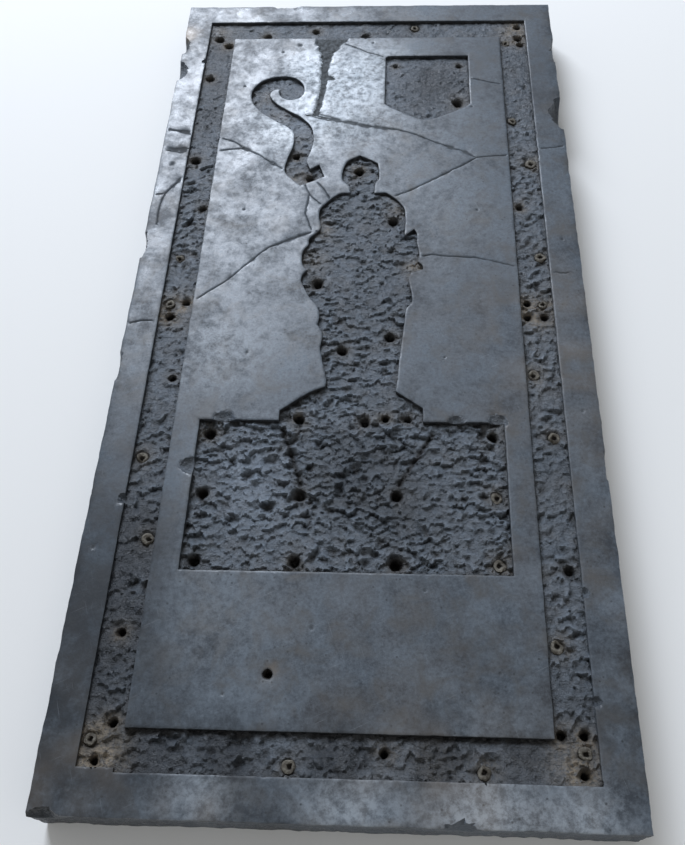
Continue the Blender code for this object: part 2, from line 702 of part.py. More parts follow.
def main():
    for leftover in list(bpy.data.objects):
        bpy.data.objects.remove(leftover, do_unlink=True)

    limestone = make_material("polished dark limestone", (0.090, 0.105, 0.125), 0.38)
    lead = make_material("weathered lead", (0.33, 0.31, 0.28), 0.62, 0.35)
    slab = build_slab(limestone)
    cut_flakes(slab)
    cut_beds(slab)
    cracks = cutter_group("cracks")
    for number, kinks in enumerate(CRACKS, 1):
        crack_cutter(f"crack_{number}", kinks, cracks)
    cut(slab, cracks)
    drill_holes(slab, lead)


main()
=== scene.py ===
"""A medieval ledger stone, robbed of its inlaid brasses, as it looks.

The stone's fine surface stands for the plain solid of the same name: the worn polish of the face, the
chiselled floors of the beds, the drilled holes, the cracks and the broken edges. The lead that is left
in some of the holes has pieces of its own. Units are metres. A place on the face is x, y from the
centre of the stone.
"""

import math

import bmesh
import bpy
import numpy as np
from mathutils import Euler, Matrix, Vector
from mathutils.geometry import delaunay_2d_cdt


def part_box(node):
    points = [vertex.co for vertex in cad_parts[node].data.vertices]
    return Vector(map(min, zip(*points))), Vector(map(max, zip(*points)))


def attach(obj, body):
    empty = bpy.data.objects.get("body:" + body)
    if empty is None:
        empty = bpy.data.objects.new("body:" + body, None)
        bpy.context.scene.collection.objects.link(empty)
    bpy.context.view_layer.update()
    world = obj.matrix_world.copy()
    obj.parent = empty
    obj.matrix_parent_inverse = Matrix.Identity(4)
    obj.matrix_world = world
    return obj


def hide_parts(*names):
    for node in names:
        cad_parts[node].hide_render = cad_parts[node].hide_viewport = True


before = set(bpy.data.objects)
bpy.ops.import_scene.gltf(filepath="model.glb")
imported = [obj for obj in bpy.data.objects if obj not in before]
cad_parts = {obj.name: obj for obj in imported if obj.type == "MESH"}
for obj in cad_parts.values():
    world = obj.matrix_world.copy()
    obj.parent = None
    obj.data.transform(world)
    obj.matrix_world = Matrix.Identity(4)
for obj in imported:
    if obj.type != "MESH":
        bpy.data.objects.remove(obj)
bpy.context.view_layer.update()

# Slab
SLAB_WIDTH = 1.100
SLAB_LENGTH = 2.300
SLAB_THICKNESS = 0.120
ARRIS = 0.004

# Fillet that runs round the edge
RIM_LEFT = 0.0764
RIM_RIGHT = 0.0792
RIM_FOOT = 0.0770
RIM_HEAD = 0.0785
FILLET_WIDTH = 0.0785
FILLET_DEPTH = 0.0090
CORNER_PLATE = 0.070
CORNER_PLATE_RISE = 0.008

# Figure and the panel that it stands on
FIGURE_HEIGHT = 0.830
FIGURE_DEPTH = 0.0095
PANEL_HEIGHT = 0.354
PANEL_DEPTH = 0.0125
PANEL_FROM_LEFT = 0.0574
PANEL_FROM_RIGHT = 0.0546
PANEL_FROM_FOOT = 0.3085

# Crozier
CROZIER_BAND = 0.0540
CROZIER_DEPTH = 0.0100
CROOK_RADIUS = 0.0597
VOLUTE_RADIUS = 0.0360

# Shield
SHIELD_WIDTH = 0.2400
SHIELD_HEIGHT = 0.2720
SHIELD_SIDE = 0.2060
SHIELD_BELLY = 0.0150
SHIELD_POINT_WIDTH = 0.0240
SHIELD_POINT_SHARE = -0.03
SHIELD_DEPTH = 0.0100
SHIELD_FROM_HEAD = 0.0830
SHIELD_FROM_RIGHT = 0.0950

# Dowel holes
DOWEL_DEPTH = 0.030

LEFT = -SLAB_WIDTH / 2
RIGHT = SLAB_WIDTH / 2
FOOT = -SLAB_LENGTH / 2
HEAD = SLAB_LENGTH / 2
FACE = SLAB_THICKNESS
EDGES = {"left": LEFT, "right": RIGHT, "foot": FOOT, "head": HEAD}

FILLET_OUTER = (LEFT + RIM_LEFT, FOOT + RIM_FOOT, RIGHT - RIM_RIGHT, HEAD - RIM_HEAD)
FILLET_INNER = (
    FILLET_OUTER[0] + FILLET_WIDTH,
    FILLET_OUTER[1] + FILLET_WIDTH,
    FILLET_OUTER[2] - FILLET_WIDTH,
    FILLET_OUTER[3] - FILLET_WIDTH,
)
FILLET_LINE = tuple((a + b) / 2 for a, b in zip(FILLET_OUTER, FILLET_INNER))

PANEL_LEFT = FILLET_INNER[0] + PANEL_FROM_LEFT
PANEL_RIGHT = FILLET_INNER[2] - PANEL_FROM_RIGHT
PANEL_FOOT = FILLET_INNER[1] + PANEL_FROM_FOOT
PANEL_HEAD = PANEL_FOOT + PANEL_HEIGHT
FIGURE_FOOT = Vector((0.0, PANEL_HEAD))

# The figure's outline, from the left end of its hem round the head to the right end, in parts of
# which its height has 830. The hem's middle is at 0, 0.
FIGURE_PARTS = 830
FIGURE_OUTLINE = (
    (-161, 0), (-161, 25), (-97, 74), (-62, 90), (-61, 105), (-73, 163), (-79, 195), (-77, 235),
    (-88, 266), (-86, 289), (-93, 318), (-114, 347), (-128, 376), (-137, 400), (-134, 418),
    (-125, 430), (-137, 450), (-140, 473), (-137, 496), (-126, 514), (-125, 533), (-100, 563),
    (-97, 573), (-104, 606), (-101, 637), (-87, 657), (-70, 676), (-52, 690), (-25, 692),
    (-28, 712), (-48, 738), (-50, 752), (-46, 788), (-37, 808), (-5, 830), (30, 811), (45, 800),
    (47, 742), (39, 728), (37, 692), (67, 692), (85, 679), (101, 661), (114, 641), (118, 606),
    (117, 566), (116, 543), (140, 567), (147, 553), (148, 520), (153, 478), (150, 460), (161, 447),
    (162, 434), (133, 422), (127, 404), (130, 379), (135, 353), (134, 330), (122, 314), (117, 272),
    (107, 172), (99, 79), (159, 35), (160, 0),
)

# The crozier, in the figure's parts: the middle line of its band up to the crown of the crook, the
# broken tip of its foot, and the outline of the lug beside the foot
CROZIER_LINE = (
    (-177, 768), (-174, 813), (-165, 853), (-161, 893), (-168, 931), (-192, 962), (-230, 989),
    (-268, 1021), (-291, 1055), (-295, 1083), (-283, 1109), (-262, 1123), (-240, 1127),
)
CROZIER_FOOT = (-160, 718)
CROZIER_LUG = ((-137, 779), (-113, 796), (-98, 751), (-133, 730))
CROOK_CENTRE = (-232, 1095)
VOLUTE_CENTRE = (-208, 1089)

# Start and end angle of the crook's and the volute's arcs, in degrees, and their points
CROOK_SWEEP = (85, 8, 6)
VOLUTE_SWEEP = (-8, -196, 9)

# Dowel holes along each run of the fillet: share of the run from its foot or left end, share of
# the half width off the middle line, radius, and what is in the hole
RUN_HOLES = {
    "left": (
        (0.106, 0.00, 0.011), (0.202, 0.55, 0.014), (0.294, -0.50, 0.014),
        (0.395, 0.45, 0.011), (0.569, -0.35, 0.012), (0.652, 0.55, 0.012),
        (0.737, -0.45, 0.015), (0.899, -0.45, 0.013),
    ),
    "right": (
        (0.101, -0.48, 0.015), (0.176, 0.46, 0.014), (0.324, 0.32, 0.014),
        (0.403, -0.50, 0.014), (0.573, 0.52, 0.015), (0.654, -0.52, 0.012),
        (0.730, 0.48, 0.016), (0.811, -0.52, 0.013),
    ),
    "head": (
        (0.156, -0.45, 0.014), (0.325, 0.10, 0.014), (0.498, -0.50, 0.016),
        (0.667, 0.42, 0.013),
    ),
    "foot": ((0.400, -0.50, 0.014), (0.602, 0.20, 0.013), (0.808, -0.55, 0.014)),
}

# Dowel holes of the corner plates and of the two plates half way up, as x, y from the place where
# the fillet's middle lines cross, in parts of which the fillet's width has 100
PLATE_HOLES = {
    "foot_left": ((16, 62, 0.011), (-30, 24, 0.013), (-12, -22, 0.012)),
    "foot_right": (
        (-31, 59, 0.011), (21, 62, 0.011), (19, 22, 0.014),
        (16, -25, 0.011),
    ),
    "head_left": ((-12, -38, 0.015), (27, -78, 0.014)),
    "head_right": (
        (22, -45, 0.014), (-26, -72, 0.012), (27, -80, 0.012),
        (22, 24, 0.011),
    ),
    "middle_left": ((26, 30, 0.011), (-24, 24, 0.013), (-20, -22, 0.014)),
    "middle_right": (
        (-26, 34, 0.011), (21, 28, 0.012), (-29, -18, 0.012),
        (21, -18, 0.012),
    ),
}
PLATE_PARTS = 100
MIDDLE_SHARE = 0.490

# Dowel holes of the figure and the crozier, in the figure's parts
FIGURE_HOLES = (
    (-5, 780, 0.015), (88, 601, 0.015), (-98, 396, 0.016),
    (83, 234, 0.014), (-27, 195, 0.015),
)
HEM_HOLES = ((-117, 8, 0.014), (29, 4, 0.013), (76, 12, 0.010), (127, 13, 0.010))
CROZIER_HOLES = ((-179, 838, 0.012), (-137, 756, 0.012))

# Dowel holes of the panel, in three rows and four columns
PANEL_SIDE_INSET = 0.0250
PANEL_HEAD_INSET = 0.0300
PANEL_FOOT_INSET = 0.0255
PANEL_INNER_COLUMN = 0.104
PANEL_HOLE_RADIUS = 0.015

# Dowel holes of the shield, as shares of its half width and its height from the top
SHIELD_HOLES = (
    (-0.76, 0.13, 0.008), (0.78, 0.13, 0.009), (0.73, 0.69, 0.017),
)

# A lone hole in the bare field below the panel: x, distance below the panel, and radius
FIELD_HOLE_X = -0.139
FIELD_HOLE_BELOW_PANEL = 0.205
FIELD_HOLE_RADIUS = 0.010

# Panel holes that were never drilled, as row and column
PANEL_UNDRILLED = ((0, 1), (0, 2))

# Cracks in the face, as x, y and width at each kink
CRACKS = (
    ((-0.103, 0.994, 0.105), (-0.112, 0.955, 0.062), (-0.114, 0.925, 0.034), (-0.115, 0.890, 0.028),
     (-0.117, 0.820, 0.024), (-0.121, 0.742, 0.015), (-0.133, 0.660, 0.016)),
    ((-0.118, 0.817, 0.020), (-0.090, 0.812, 0.008)),
    ((-0.160, 0.658, 0.007), (-0.133, 0.655, 0.014), (-0.058, 0.633, 0.013), (0.012, 0.613, 0.010),
     (0.094, 0.598, 0.008), (0.148, 0.579, 0.006), (0.202, 0.545, 0.007), (0.268, 0.515, 0.009),
     (0.307, 0.489, 0.007), (0.374, 0.497, 0.005), (0.400, 0.505, 0.005)),
    ((0.465, 0.521, 0.006), (0.505, 0.525, 0.006), (0.560, 0.536, 0.006)),
    ((0.307, 0.489, 0.006), (0.253, 0.451, 0.006), (0.148, 0.378, 0.006), (0.080, 0.345, 0.005)),
    ((-0.060, 0.965, 0.006), (0.003, 0.929, 0.005), (0.075, 0.895, 0.005)),
    ((0.285, 0.817, 0.005), (0.347, 0.796, 0.005), (0.400, 0.782, 0.005)),
    ((-0.560, 0.607, 0.010), (-0.511, 0.595, 0.011), (-0.465, 0.588, 0.009)),
    ((-0.400, 0.569, 0.005), (-0.351, 0.552, 0.006), (-0.321, 0.526, 0.008), (-0.273, 0.496, 0.006),
     (-0.236, 0.466, 0.008), (-0.200, 0.441, 0.007)),
    ((-0.400, 0.517, 0.005), (-0.361, 0.522, 0.006), (-0.321, 0.526, 0.006)),
    ((-0.522, 0.523, 0.016), (-0.465, 0.517, 0.022)),
    ((-0.560, 0.353, 0.005), (-0.516, 0.355, 0.006), (-0.498, 0.388, 0.007), (-0.470, 0.424, 0.010)),
    ((-0.516, 0.355, 0.005), (-0.524, 0.303, 0.006), (-0.521, 0.242, 0.003)),
    ((-0.150, 0.392, 0.006), (-0.131, 0.351, 0.005), (-0.095, 0.312, 0.005)),
    ((-0.120, 0.405, 0.006), (-0.099, 0.376, 0.005), (-0.078, 0.336, 0.005)),
    ((-0.134, 0.350, 0.005), (-0.139, 0.285, 0.005), (-0.120, 0.225, 0.005)),
    ((-0.092, 0.232, 0.006), (-0.152, 0.211, 0.007), (-0.224, 0.171, 0.006), (-0.280, 0.113, 0.006),
     (-0.323, 0.060, 0.005), (-0.400, -0.006, 0.003)),
    ((0.145, 0.140, 0.005), (0.184, 0.149, 0.005), (0.295, 0.140, 0.005), (0.400, 0.110, 0.004)),
    ((0.465, 0.099, 0.004), (0.515, 0.090, 0.003)),
    ((-0.560, -0.071, 0.004), (-0.521, -0.062, 0.005), (-0.465, -0.058, 0.006)),
)

# Chips off the top edges: side, place along it, half length, reach inwards and depth
EDGE_CHIPS = (
    ("right", 0.665, 0.060, 0.030, 0.050), ("right", 0.930, 0.050, 0.007, 0.030),
    ("right", -0.440, 0.045, 0.005, 0.016), ("left", 0.965, 0.035, 0.018, 0.030),
    ("left", 0.850, 0.040, 0.024, 0.020), ("left", 0.180, 0.042, 0.012, 0.030),
    ("left", -0.190, 0.038, 0.009, 0.016), ("foot", 0.220, 0.028, 0.010, 0.020),
    ("foot", -0.520, 0.030, 0.014, 0.030), ("head", -0.250, 0.040, 0.008, 0.020),
)

# Bites out of the edge of a bed: x, y and radius
BED_BITES = (
    (-0.345, -0.445, 0.021), (-0.283, -0.333, 0.023), (0.325, -0.332, 0.019), (-0.476, -0.528, 0.010),
    (0.474, -0.717, 0.010), (0.473, -0.927, 0.009), (-0.474, 0.893, 0.008), (0.232, -0.335, 0.018),
)

# Small hollows in the beds' floors, as x, y, radius and depth
HOLLOWS = (
    (-0.073, 0.264, 0.016, 0.005), (0.117, 0.110, 0.015, 0.004), (-0.432, 0.602, 0.015, 0.005),
    (0.412, -0.490, 0.012, 0.005), (0.452, 0.782, 0.012, 0.005), (0.325, 1.008, 0.011, 0.004),
    (-0.287, -1.031, 0.011, 0.004), (0.090, 0.737, 0.010, 0.003), (0.175, 0.660, 0.009, 0.003),
    (-0.225, 0.120, 0.020, 0.004), (0.108, -0.366, 0.022, 0.003), (-0.210, -0.560, 0.030, 0.003),
)

# Pits in the face, as x, y and radius
FACE_PITS = (
    (-0.197, 0.962, 0.007), (-0.245, 0.930, 0.004), (0.020, 0.970, 0.004), (-0.060, 0.742, 0.004),
    (0.118, 0.875, 0.004), (-0.345, 0.780, 0.004), (0.301, 0.300, 0.004), (-0.250, -0.150, 0.004),
    (0.210, -0.160, 0.003), (-0.300, 0.300, 0.004), (-0.060, -0.800, 0.005), (0.160, -0.720, 0.004),
    (0.300, -0.880, 0.004), (-0.220, -0.930, 0.004), (0.510, -0.300, 0.005), (-0.520, -0.640, 0.005),
    (0.508, 0.200, 0.004), (-0.512, 0.468, 0.008), (0.300, 0.690, 0.004), (-0.480, -1.100, 0.005),
)
PIT_DEPTH = 0.0022

# Bruise of the floor round a hole: its most depth, and its reach in radii
BRUISE_DEPTH = 0.0050
BRUISE_REACH = 2.1

# Grooves where the plates of the panel and the figure once met, as the x, y of their ends
PLATE_JOINTS = (((-0.151, -0.349), (-0.102, -0.483)), ((0.1785, -0.361), (0.108, -0.483)))
JOINT_WIDTH = 0.012
JOINT_DEPTH = 0.0065

# Half the length over which the figure's floor slopes down to the panel's
HEM_SLOPE = 0.025

# Void at the head and its short branch, filled with mortar: x, y and width along their middle
MORTAR_LINES = CRACKS[:2]
MORTAR_DEPTH = 0.0045
MORTAR_SPREAD = 0.0015
MORTAR_SLOPE = 0.0040

# Depth from which broken stone shows its grain, and mortar its own surface
BARE_DEPTH = 0.0016
BITE_DEPTH = 0.009

# Wear of the polished face, and the least depth of a floor
FACE_WEAR = 0.0007
LEAST_DEPTH = 0.0025

# Chisel marks: pitch along and across, length, width, rise of the bowl, stray of its level, heading
# in degrees from the cross direction, and how far the heading strays
MARKS = {
    "panel": (0.0340, 0.0250, 0.0150, 0.0080, 0.0036, 0.0024, 6, 40),
    "figure": (0.0380, 0.0260, 0.0160, 0.0075, 0.0032, 0.0022, 4, 24),
    "strip": (0.0340, 0.0250, 0.0150, 0.0080, 0.0034, 0.0022, 14, 34),
    "fine": (0.0110, 0.0080, 0.0110, 0.0080, 0.0018, 0.0012, 0, 60),
}
MARK_CELL = 0.001
MARK_CAP = 0.0008

# How a mark strays from its style: least and most share of the length and of the width, reach of the
# bowl in lengths, and stray from the grid in pitches
MARK_LENGTHS = (0.60, 1.25)
MARK_WIDTHS = (0.65, 1.30)
MARK_REACH = 1.7
MARK_STRAY = 0.42

# How steeply a mark rises on the head's side and on the foot's: the chisel bites deeper on the first
HEAD_SIDE_RISE = 2.6
FOOT_SIDE_RISE = 0.45

# The side runs were struck slantwise, as a share of a right angle
SIDE_RUN_TURN = 0.15

# Margin of the panel that was struck more lightly, and the share of its marks
PANEL_MARGIN = 0.022
MARGIN_MARKS = 0.35

# Scales that the chisel left: length, how many times as wide, half their height, and seed
LARGE_FLAKE = (0.0165, 1.7, 0.0017, 33)
SMALL_FLAKE = (0.0105, 1.3, 0.0009, 35)

# Stray of a scale's middle, bend of its outline, spread of the levels and of the leans, turn in radians
# on the fillet and the shield, and how steeply each sinks towards the head
FLAKE_STRAY = 0.45
FLAKE_BEND = 0.30
FLAKE_LEVEL = 0.8
FLAKE_LEAN = 1.2
FLAKE_TURN = 0.35
FLAKE_DIP = 1.9

# Roughness of the floors: the figure's, what the panel has more, and shares of it on other floors
FIGURE_ROUGHNESS = 0.85
PANEL_ROUGHNESS = 0.22
CROZIER_SHARE = 0.75
SHIELD_SHARE = 0.55
FILLET_SHARE = 0.9

# The fillet is smoother towards the head: where that starts, over what length, and by how much
CALM_FROM = 0.35
CALM_OVER = 0.50
CALM_LOSS = 0.45

# Ridges and hollows, told apart by the height over the mean of the floor within reach
CREST_CELL = 0.0025
CREST_REACH = 0.0100
CREST_RANGE = 0.0085

# Smooth random drifts: the size over which each changes, its seed, and its height or strength
DRIFTS = {
    "face roll": (0.21, 1, 0.0004), "face wave": (0.06, 2, 0.00018),
    "floor swell": (0.045, 3, 0.0016), "floor dip": (0.017, 4, 0.0009), "floor grain": (0.006, 5, 0.0005),
    "roughness": (0.055, 6, 0.45), "bruise": (0.014, 24, 0.3),
    "mortar outline": (0.022, 21, 0.34), "mortar teeth": (0.009, 24, 0.20),
    "mortar lumps": (0.012, 22, 0.0018), "mortar sand": (0.006, 23, 0.0012),
    "chip outline": (0.018, 31, 0.25), "chip teeth": (0.007, 32, 0.12),
    "edge bow": (0.05, 41, 0.0012), "edge nicks": (0.014, 42, 0.0010), "edge wear": (0.04, 43, 0.5),
    "wall teeth": (0.006, 53, 0.0002), "wall foot": (0.01, 54, 0.0004), "brink wear": (0.012, 55, 0.0005),
    "crack width": (0.012, 71, 0.5), "crack bow": (0.030, 72, 0.0020), "crack teeth": (0.009, 73, 0.0008),
    "side hollows": (0.035, 81, 0.0022), "side pocks": (0.012, 82, 0.0012),
    "stain": (0.02, 91, 0.45), "smudge": (0.012, 92, 0.6), "shade": (0.06, 93, 0.35),
    "patches": (0.045, 94, 0.9), "foot run shadow and dirt": (0.015, 95, 0.25),
}
RANDOM_CELLS = 128

# Nicks along the beds' edges: their size, how rare they are from 0 to 1, and their depth
NICK_SIZE = 0.013
NICK_RARITY = 0.78
NICK_DEPTH = 0.007

# Bow of the beds' edges: the size over which it changes, and its height
WALL_BOW = (0.022, 0.0005)

# The first seeds of the nicks and the bows, to which each zone adds its number
NICK_SEED = 51
BOW_SEED = 52

# Zones of the surface
FIELD, FILLET, FIGURE, CROZIER, SHIELD = range(5)
BED_DEPTHS = np.array((0.0, FILLET_DEPTH, FIGURE_DEPTH, CROZIER_DEPTH, SHIELD_DEPTH))
BED_SPACING = {FILLET: 0.0047, FIGURE: 0.0038, CROZIER: 0.0047, SHIELD: 0.0045}
OUTLINE_STEP = 0.0040
FIELD_SPACING = 0.024
CHIP_SPACING = 0.0058
BITE_SPACING = 0.0045
POINT_STRAY = 0.24
EDGE_STEP = 0.0080
CRACK_STEP = 0.0055
WALL_SPREAD = 0.0010
ARRIS_SPREAD = 0.0016
BRINK_SPREAD = 0.0050
BRINK_WEAR = 0.0004
SAME_POINT = 1e-6
SIDE_ROWS = 11

# Field of close points round the mortar: x, y, half width, half length and spacing
MORTAR_FIELD = (-0.118, 0.832, 0.062, 0.182, 0.0052)

# Distance from each line of points within which later ones are left out
KEEP_WIDE = 0.0030
KEEP_NARROW = 0.0022

# The slab's worn top edge, as rings with their distance from it and their drop
EDGE_RINGS = ((0.0004, ARRIS), (0.0017, ARRIS * 0.28), (0.0060, 0.0))

# Cracks: share of the given width, least and most half width, and least and most depth
CRACK_SHARE = 0.86
CRACK_HALF = (0.0014, 0.010)
CRACK_DEPTH = (0.0016, 0.0026)

# A narrow crack is a V and a wide one a trough: share of the depth at its shoulders, the half width
# from which that share grows and over what, and how far the sound face begins beyond them
SHOULDER_SHARE = (0.12, 0.70)
TROUGH_FROM = 0.0028
TROUGH_OVER = 0.0030
CRACK_MARGIN = 0.0036

# Dowel holes: points round the mouth, and the wall as shares of the radius and of the depth
HOLE_POINTS = 12
HOLE_BRIM = 1.28
HOLE_SECTION = ((0.84, 0.08), (0.64, 0.30), (0.48, 0.85))


def ripple(places, size, seed, height=1.0):
    """Smooth random values from -height to height that change over about size."""
    lattice = np.random.default_rng(seed).uniform(-1.0, 1.0, (RANDOM_CELLS, RANDOM_CELLS))
    cell = np.floor(places / size).astype(int)
    share = places / size - cell
    share = share * share * (3 - 2 * share)
    column, row = cell[:, 0] % (RANDOM_CELLS - 1), cell[:, 1] % (RANDOM_CELLS - 1)
    low = lattice[row, column] * (1 - share[:, 0]) + lattice[row, column + 1] * share[:, 0]
    high = lattice[row + 1, column] * (1 - share[:, 0]) + lattice[row + 1, column + 1] * share[:, 0]
    return (low * (1 - share[:, 1]) + high * share[:, 1]) * height


def drift(places, name):
    """One of the named drifts."""
    return ripple(places, *DRIFTS[name])


def flakes(places, length, stretch, height, seed):
    """Overlapping scales, length long and stretch times as wide, that each sink towards the head."""
    lattice = np.random.default_rng(seed).uniform(-1.0, 1.0, (5, RANDOM_CELLS, RANDOM_CELLS))
    stray = np.stack((ripple(places, length * 0.7, seed), ripple(places, length * 0.7, seed + 1)), axis=1)
    size = np.array((length * stretch, length))
    bent = (places + stray * length * FLAKE_BEND) / size
    cell = np.floor(bent).astype(int)
    nearest = np.full(len(places), np.inf)
    levels = np.zeros(len(places))
    for step in np.ndindex(3, 3):
        beside = cell + np.array(step) - 1
        values = lattice[:, beside[:, 1] % RANDOM_CELLS, beside[:, 0] % RANDOM_CELLS]
        away = bent - beside - 0.5 - FLAKE_STRAY * values[:2].T
        distance = (away[:, 0] * stretch) ** 2 + away[:, 1] ** 2
        level = FLAKE_LEVEL * values[2] + FLAKE_LEAN * (away * values[3:].T).sum(axis=1)
        level -= FLAKE_DIP * away[:, 1]
        levels = np.where(distance < nearest, level, levels)
        nearest = np.minimum(distance, nearest)
    return levels * height


def in_outline(places, outline):
    """True for each place inside a closed outline."""
    found = np.zeros(len(places), bool)
    for start, end in zip(outline, np.roll(outline, -1, axis=0)):
        if start[1] == end[1]:
            continue
        spans = (start[1] > places[:, 1]) != (end[1] > places[:, 1])
        x = start[0] + (places[:, 1] - start[1]) * (end[0] - start[0]) / (end[1] - start[1])
        found ^= spans & (x > places[:, 0])
    return found


def inland(places, margin):
    """True for each place that is farther than margin from the slab's edge."""
    return (np.abs(places[:, 0]) < RIGHT - margin) & (np.abs(places[:, 1]) < HEAD - margin)


def distance_to(places, x, y):
    return np.hypot(places[:, 0] - x, places[:, 1] - y)


def distance_to_line(places, start, end):
    """Distance of each place to a straight line, and how far along it the nearest point lies."""
    along = end - start
    share = np.clip((places - start) @ along / (along @ along), 0.0, 1.0)
    return np.linalg.norm(places - start - share[:, None] * along, axis=1), share


def unit(vectors):
    return vectors / np.linalg.norm(vectors, axis=1, keepdims=True)


def flowing(outline, step, corner=38):
    """Runs a smooth curve through an outline's points, keeps its sharp corners, and samples it."""
    points = np.array([tuple(point) for point in outline])
    after = np.roll(points, -1, axis=0) - points
    before = np.roll(after, 1, axis=0)
    length = np.linalg.norm(after, axis=1)
    sharp = np.einsum("ij,ij->i", unit(before), unit(after)) < math.cos(math.radians(corner))
    heading = unit(unit(before) + unit(after))
    samples = []
    for index in range(len(points)):
        following = (index + 1) % len(points)
        reach = min(length[index], 2 * length[index - 1], 2 * length[following])
        leave = after[index] if sharp[index] else heading[index] * reach
        arrive = after[index] if sharp[following] else heading[following] * reach
        count = max(1, round(length[index] / step))
        t = (np.arange(count) / count)[:, None]
        samples.append(
            (2 * t**3 - 3 * t**2 + 1) * points[index] + (t**3 - 2 * t**2 + t) * leave
            + (3 * t**2 - 2 * t**3) * points[following] + (t**3 - t**2) * arrive
        )
    return np.concatenate(samples)


def counter_clockwise(outline):
    turned = np.roll(outline, -1, axis=0)
    area = (outline[:, 0] * turned[:, 1] - turned[:, 0] * outline[:, 1]).sum()
    return outline if area > 0 else outline[::-1]


def inward(outline):
    """The direction into a counter-clockwise outline at each of its points."""
    heading = unit(np.roll(outline, -1, axis=0) - np.roll(outline, 1, axis=0))
    return np.stack((-heading[:, 1], heading[:, 0]), axis=1)


def on_figure(part):
    """A place given in the figure's parts, as x, y on the stone."""
    return FIGURE_FOOT + Vector(part[:2]) * (FIGURE_HEIGHT / FIGURE_PARTS)


def arc(centre, radius, start, end, count):
    points = []
    for index in range(count):
        angle = math.radians(start + (end - start) * index / (count - 1))
        points.append(centre + radius * Vector((math.cos(angle), math.sin(angle))))
    return points


def figure_outline():
    """The outline of the figure and its panel, which are one bed."""
    corners = [Vector((PANEL_RIGHT, PANEL_HEAD)), Vector((PANEL_RIGHT, PANEL_FOOT))]
    corners += [Vector((PANEL_LEFT, PANEL_FOOT)), Vector((PANEL_LEFT, PANEL_HEAD))]
    return [on_figure(part) for part in FIGURE_OUTLINE] + corners


def crozier_outline():
    """Both sides of a band of one width, and the volute that ends it."""
    line = [on_figure(part) for part in CROZIER_LINE]
    outer = []
    inner = []
    for before, place, after in zip(line[:1] + line, line, line[1:] + line[-1:]):
        across = (after - before).normalized().orthogonal() * (CROZIER_BAND / 2)
        outer.append(place + across)
        inner.append(place - across)
    crook = arc(on_figure(CROOK_CENTRE), CROOK_RADIUS, *CROOK_SWEEP)
    volute = arc(on_figure(VOLUTE_CENTRE), VOLUTE_RADIUS, *VOLUTE_SWEEP)
    lug = [on_figure(part) for part in CROZIER_LUG]
    return outer + crook + volute + inner[-2:0:-1] + lug + [on_figure(CROZIER_FOOT)]


def shield_outline():
    """A shield with straight sides and a blunt point."""
    right = FILLET_INNER[2] - SHIELD_FROM_RIGHT
    left = right - SHIELD_WIDTH
    top = FILLET_INNER[3] - SHIELD_FROM_HEAD
    shoulder = top - SHIELD_SIDE
    belly = shoulder - SHIELD_BELLY
    middle = (left + right) / 2 + SHIELD_POINT_SHARE * SHIELD_WIDTH / 2
    return [
        (left, top - SHIELD_BELLY / 2), (left + SHIELD_BELLY / 2, top), (right, top), (right, shoulder),
        (right - SHIELD_BELLY, belly), (middle + SHIELD_POINT_WIDTH / 2, top - SHIELD_HEIGHT),
        (middle - SHIELD_POINT_WIDTH / 2, top - SHIELD_HEIGHT), (left + SHIELD_BELLY, belly),
        (left, shoulder),
    ]


def fillet_outlines():
    """Both outlines of the fillet. The plate at the left corner of the foot was set a little high."""
    west, south, east, north = FILLET_OUTER
    high = south + CORNER_PLATE_RISE
    plate_end = west + CORNER_PLATE
    outer = [
        (west, high), (plate_end, high), (plate_end, south), (east, south), (east, north), (west, north),
    ]
    west, south, east, north = FILLET_INNER
    return outer, [(west, south), (east, south), (east, north), (west, north)]


def run_place(run, share, offset):
    """A place on one run of the fillet, from shares of its length and of its half width."""
    west, south, east, north = FILLET_LINE
    shift = offset * FILLET_WIDTH / 2
    return {
        "left": (west + shift, south + share * (north - south)),
        "right": (east + shift, south + share * (north - south)),
        "head": (west + share * (east - west), north + shift),
        "foot": (west + share * (east - west), south + shift),
    }[run]


def plate_centre(plate):
    west, south, east, north = FILLET_LINE
    middle = south + MIDDLE_SHARE * (north - south)
    return {
        "foot_left": Vector((west, south)),
        "foot_right": Vector((east, south)),
        "head_left": Vector((west, north)),
        "head_right": Vector((east, north)),
        "middle_left": Vector((west, middle)),
        "middle_right": Vector((east, middle)),
    }[plate]


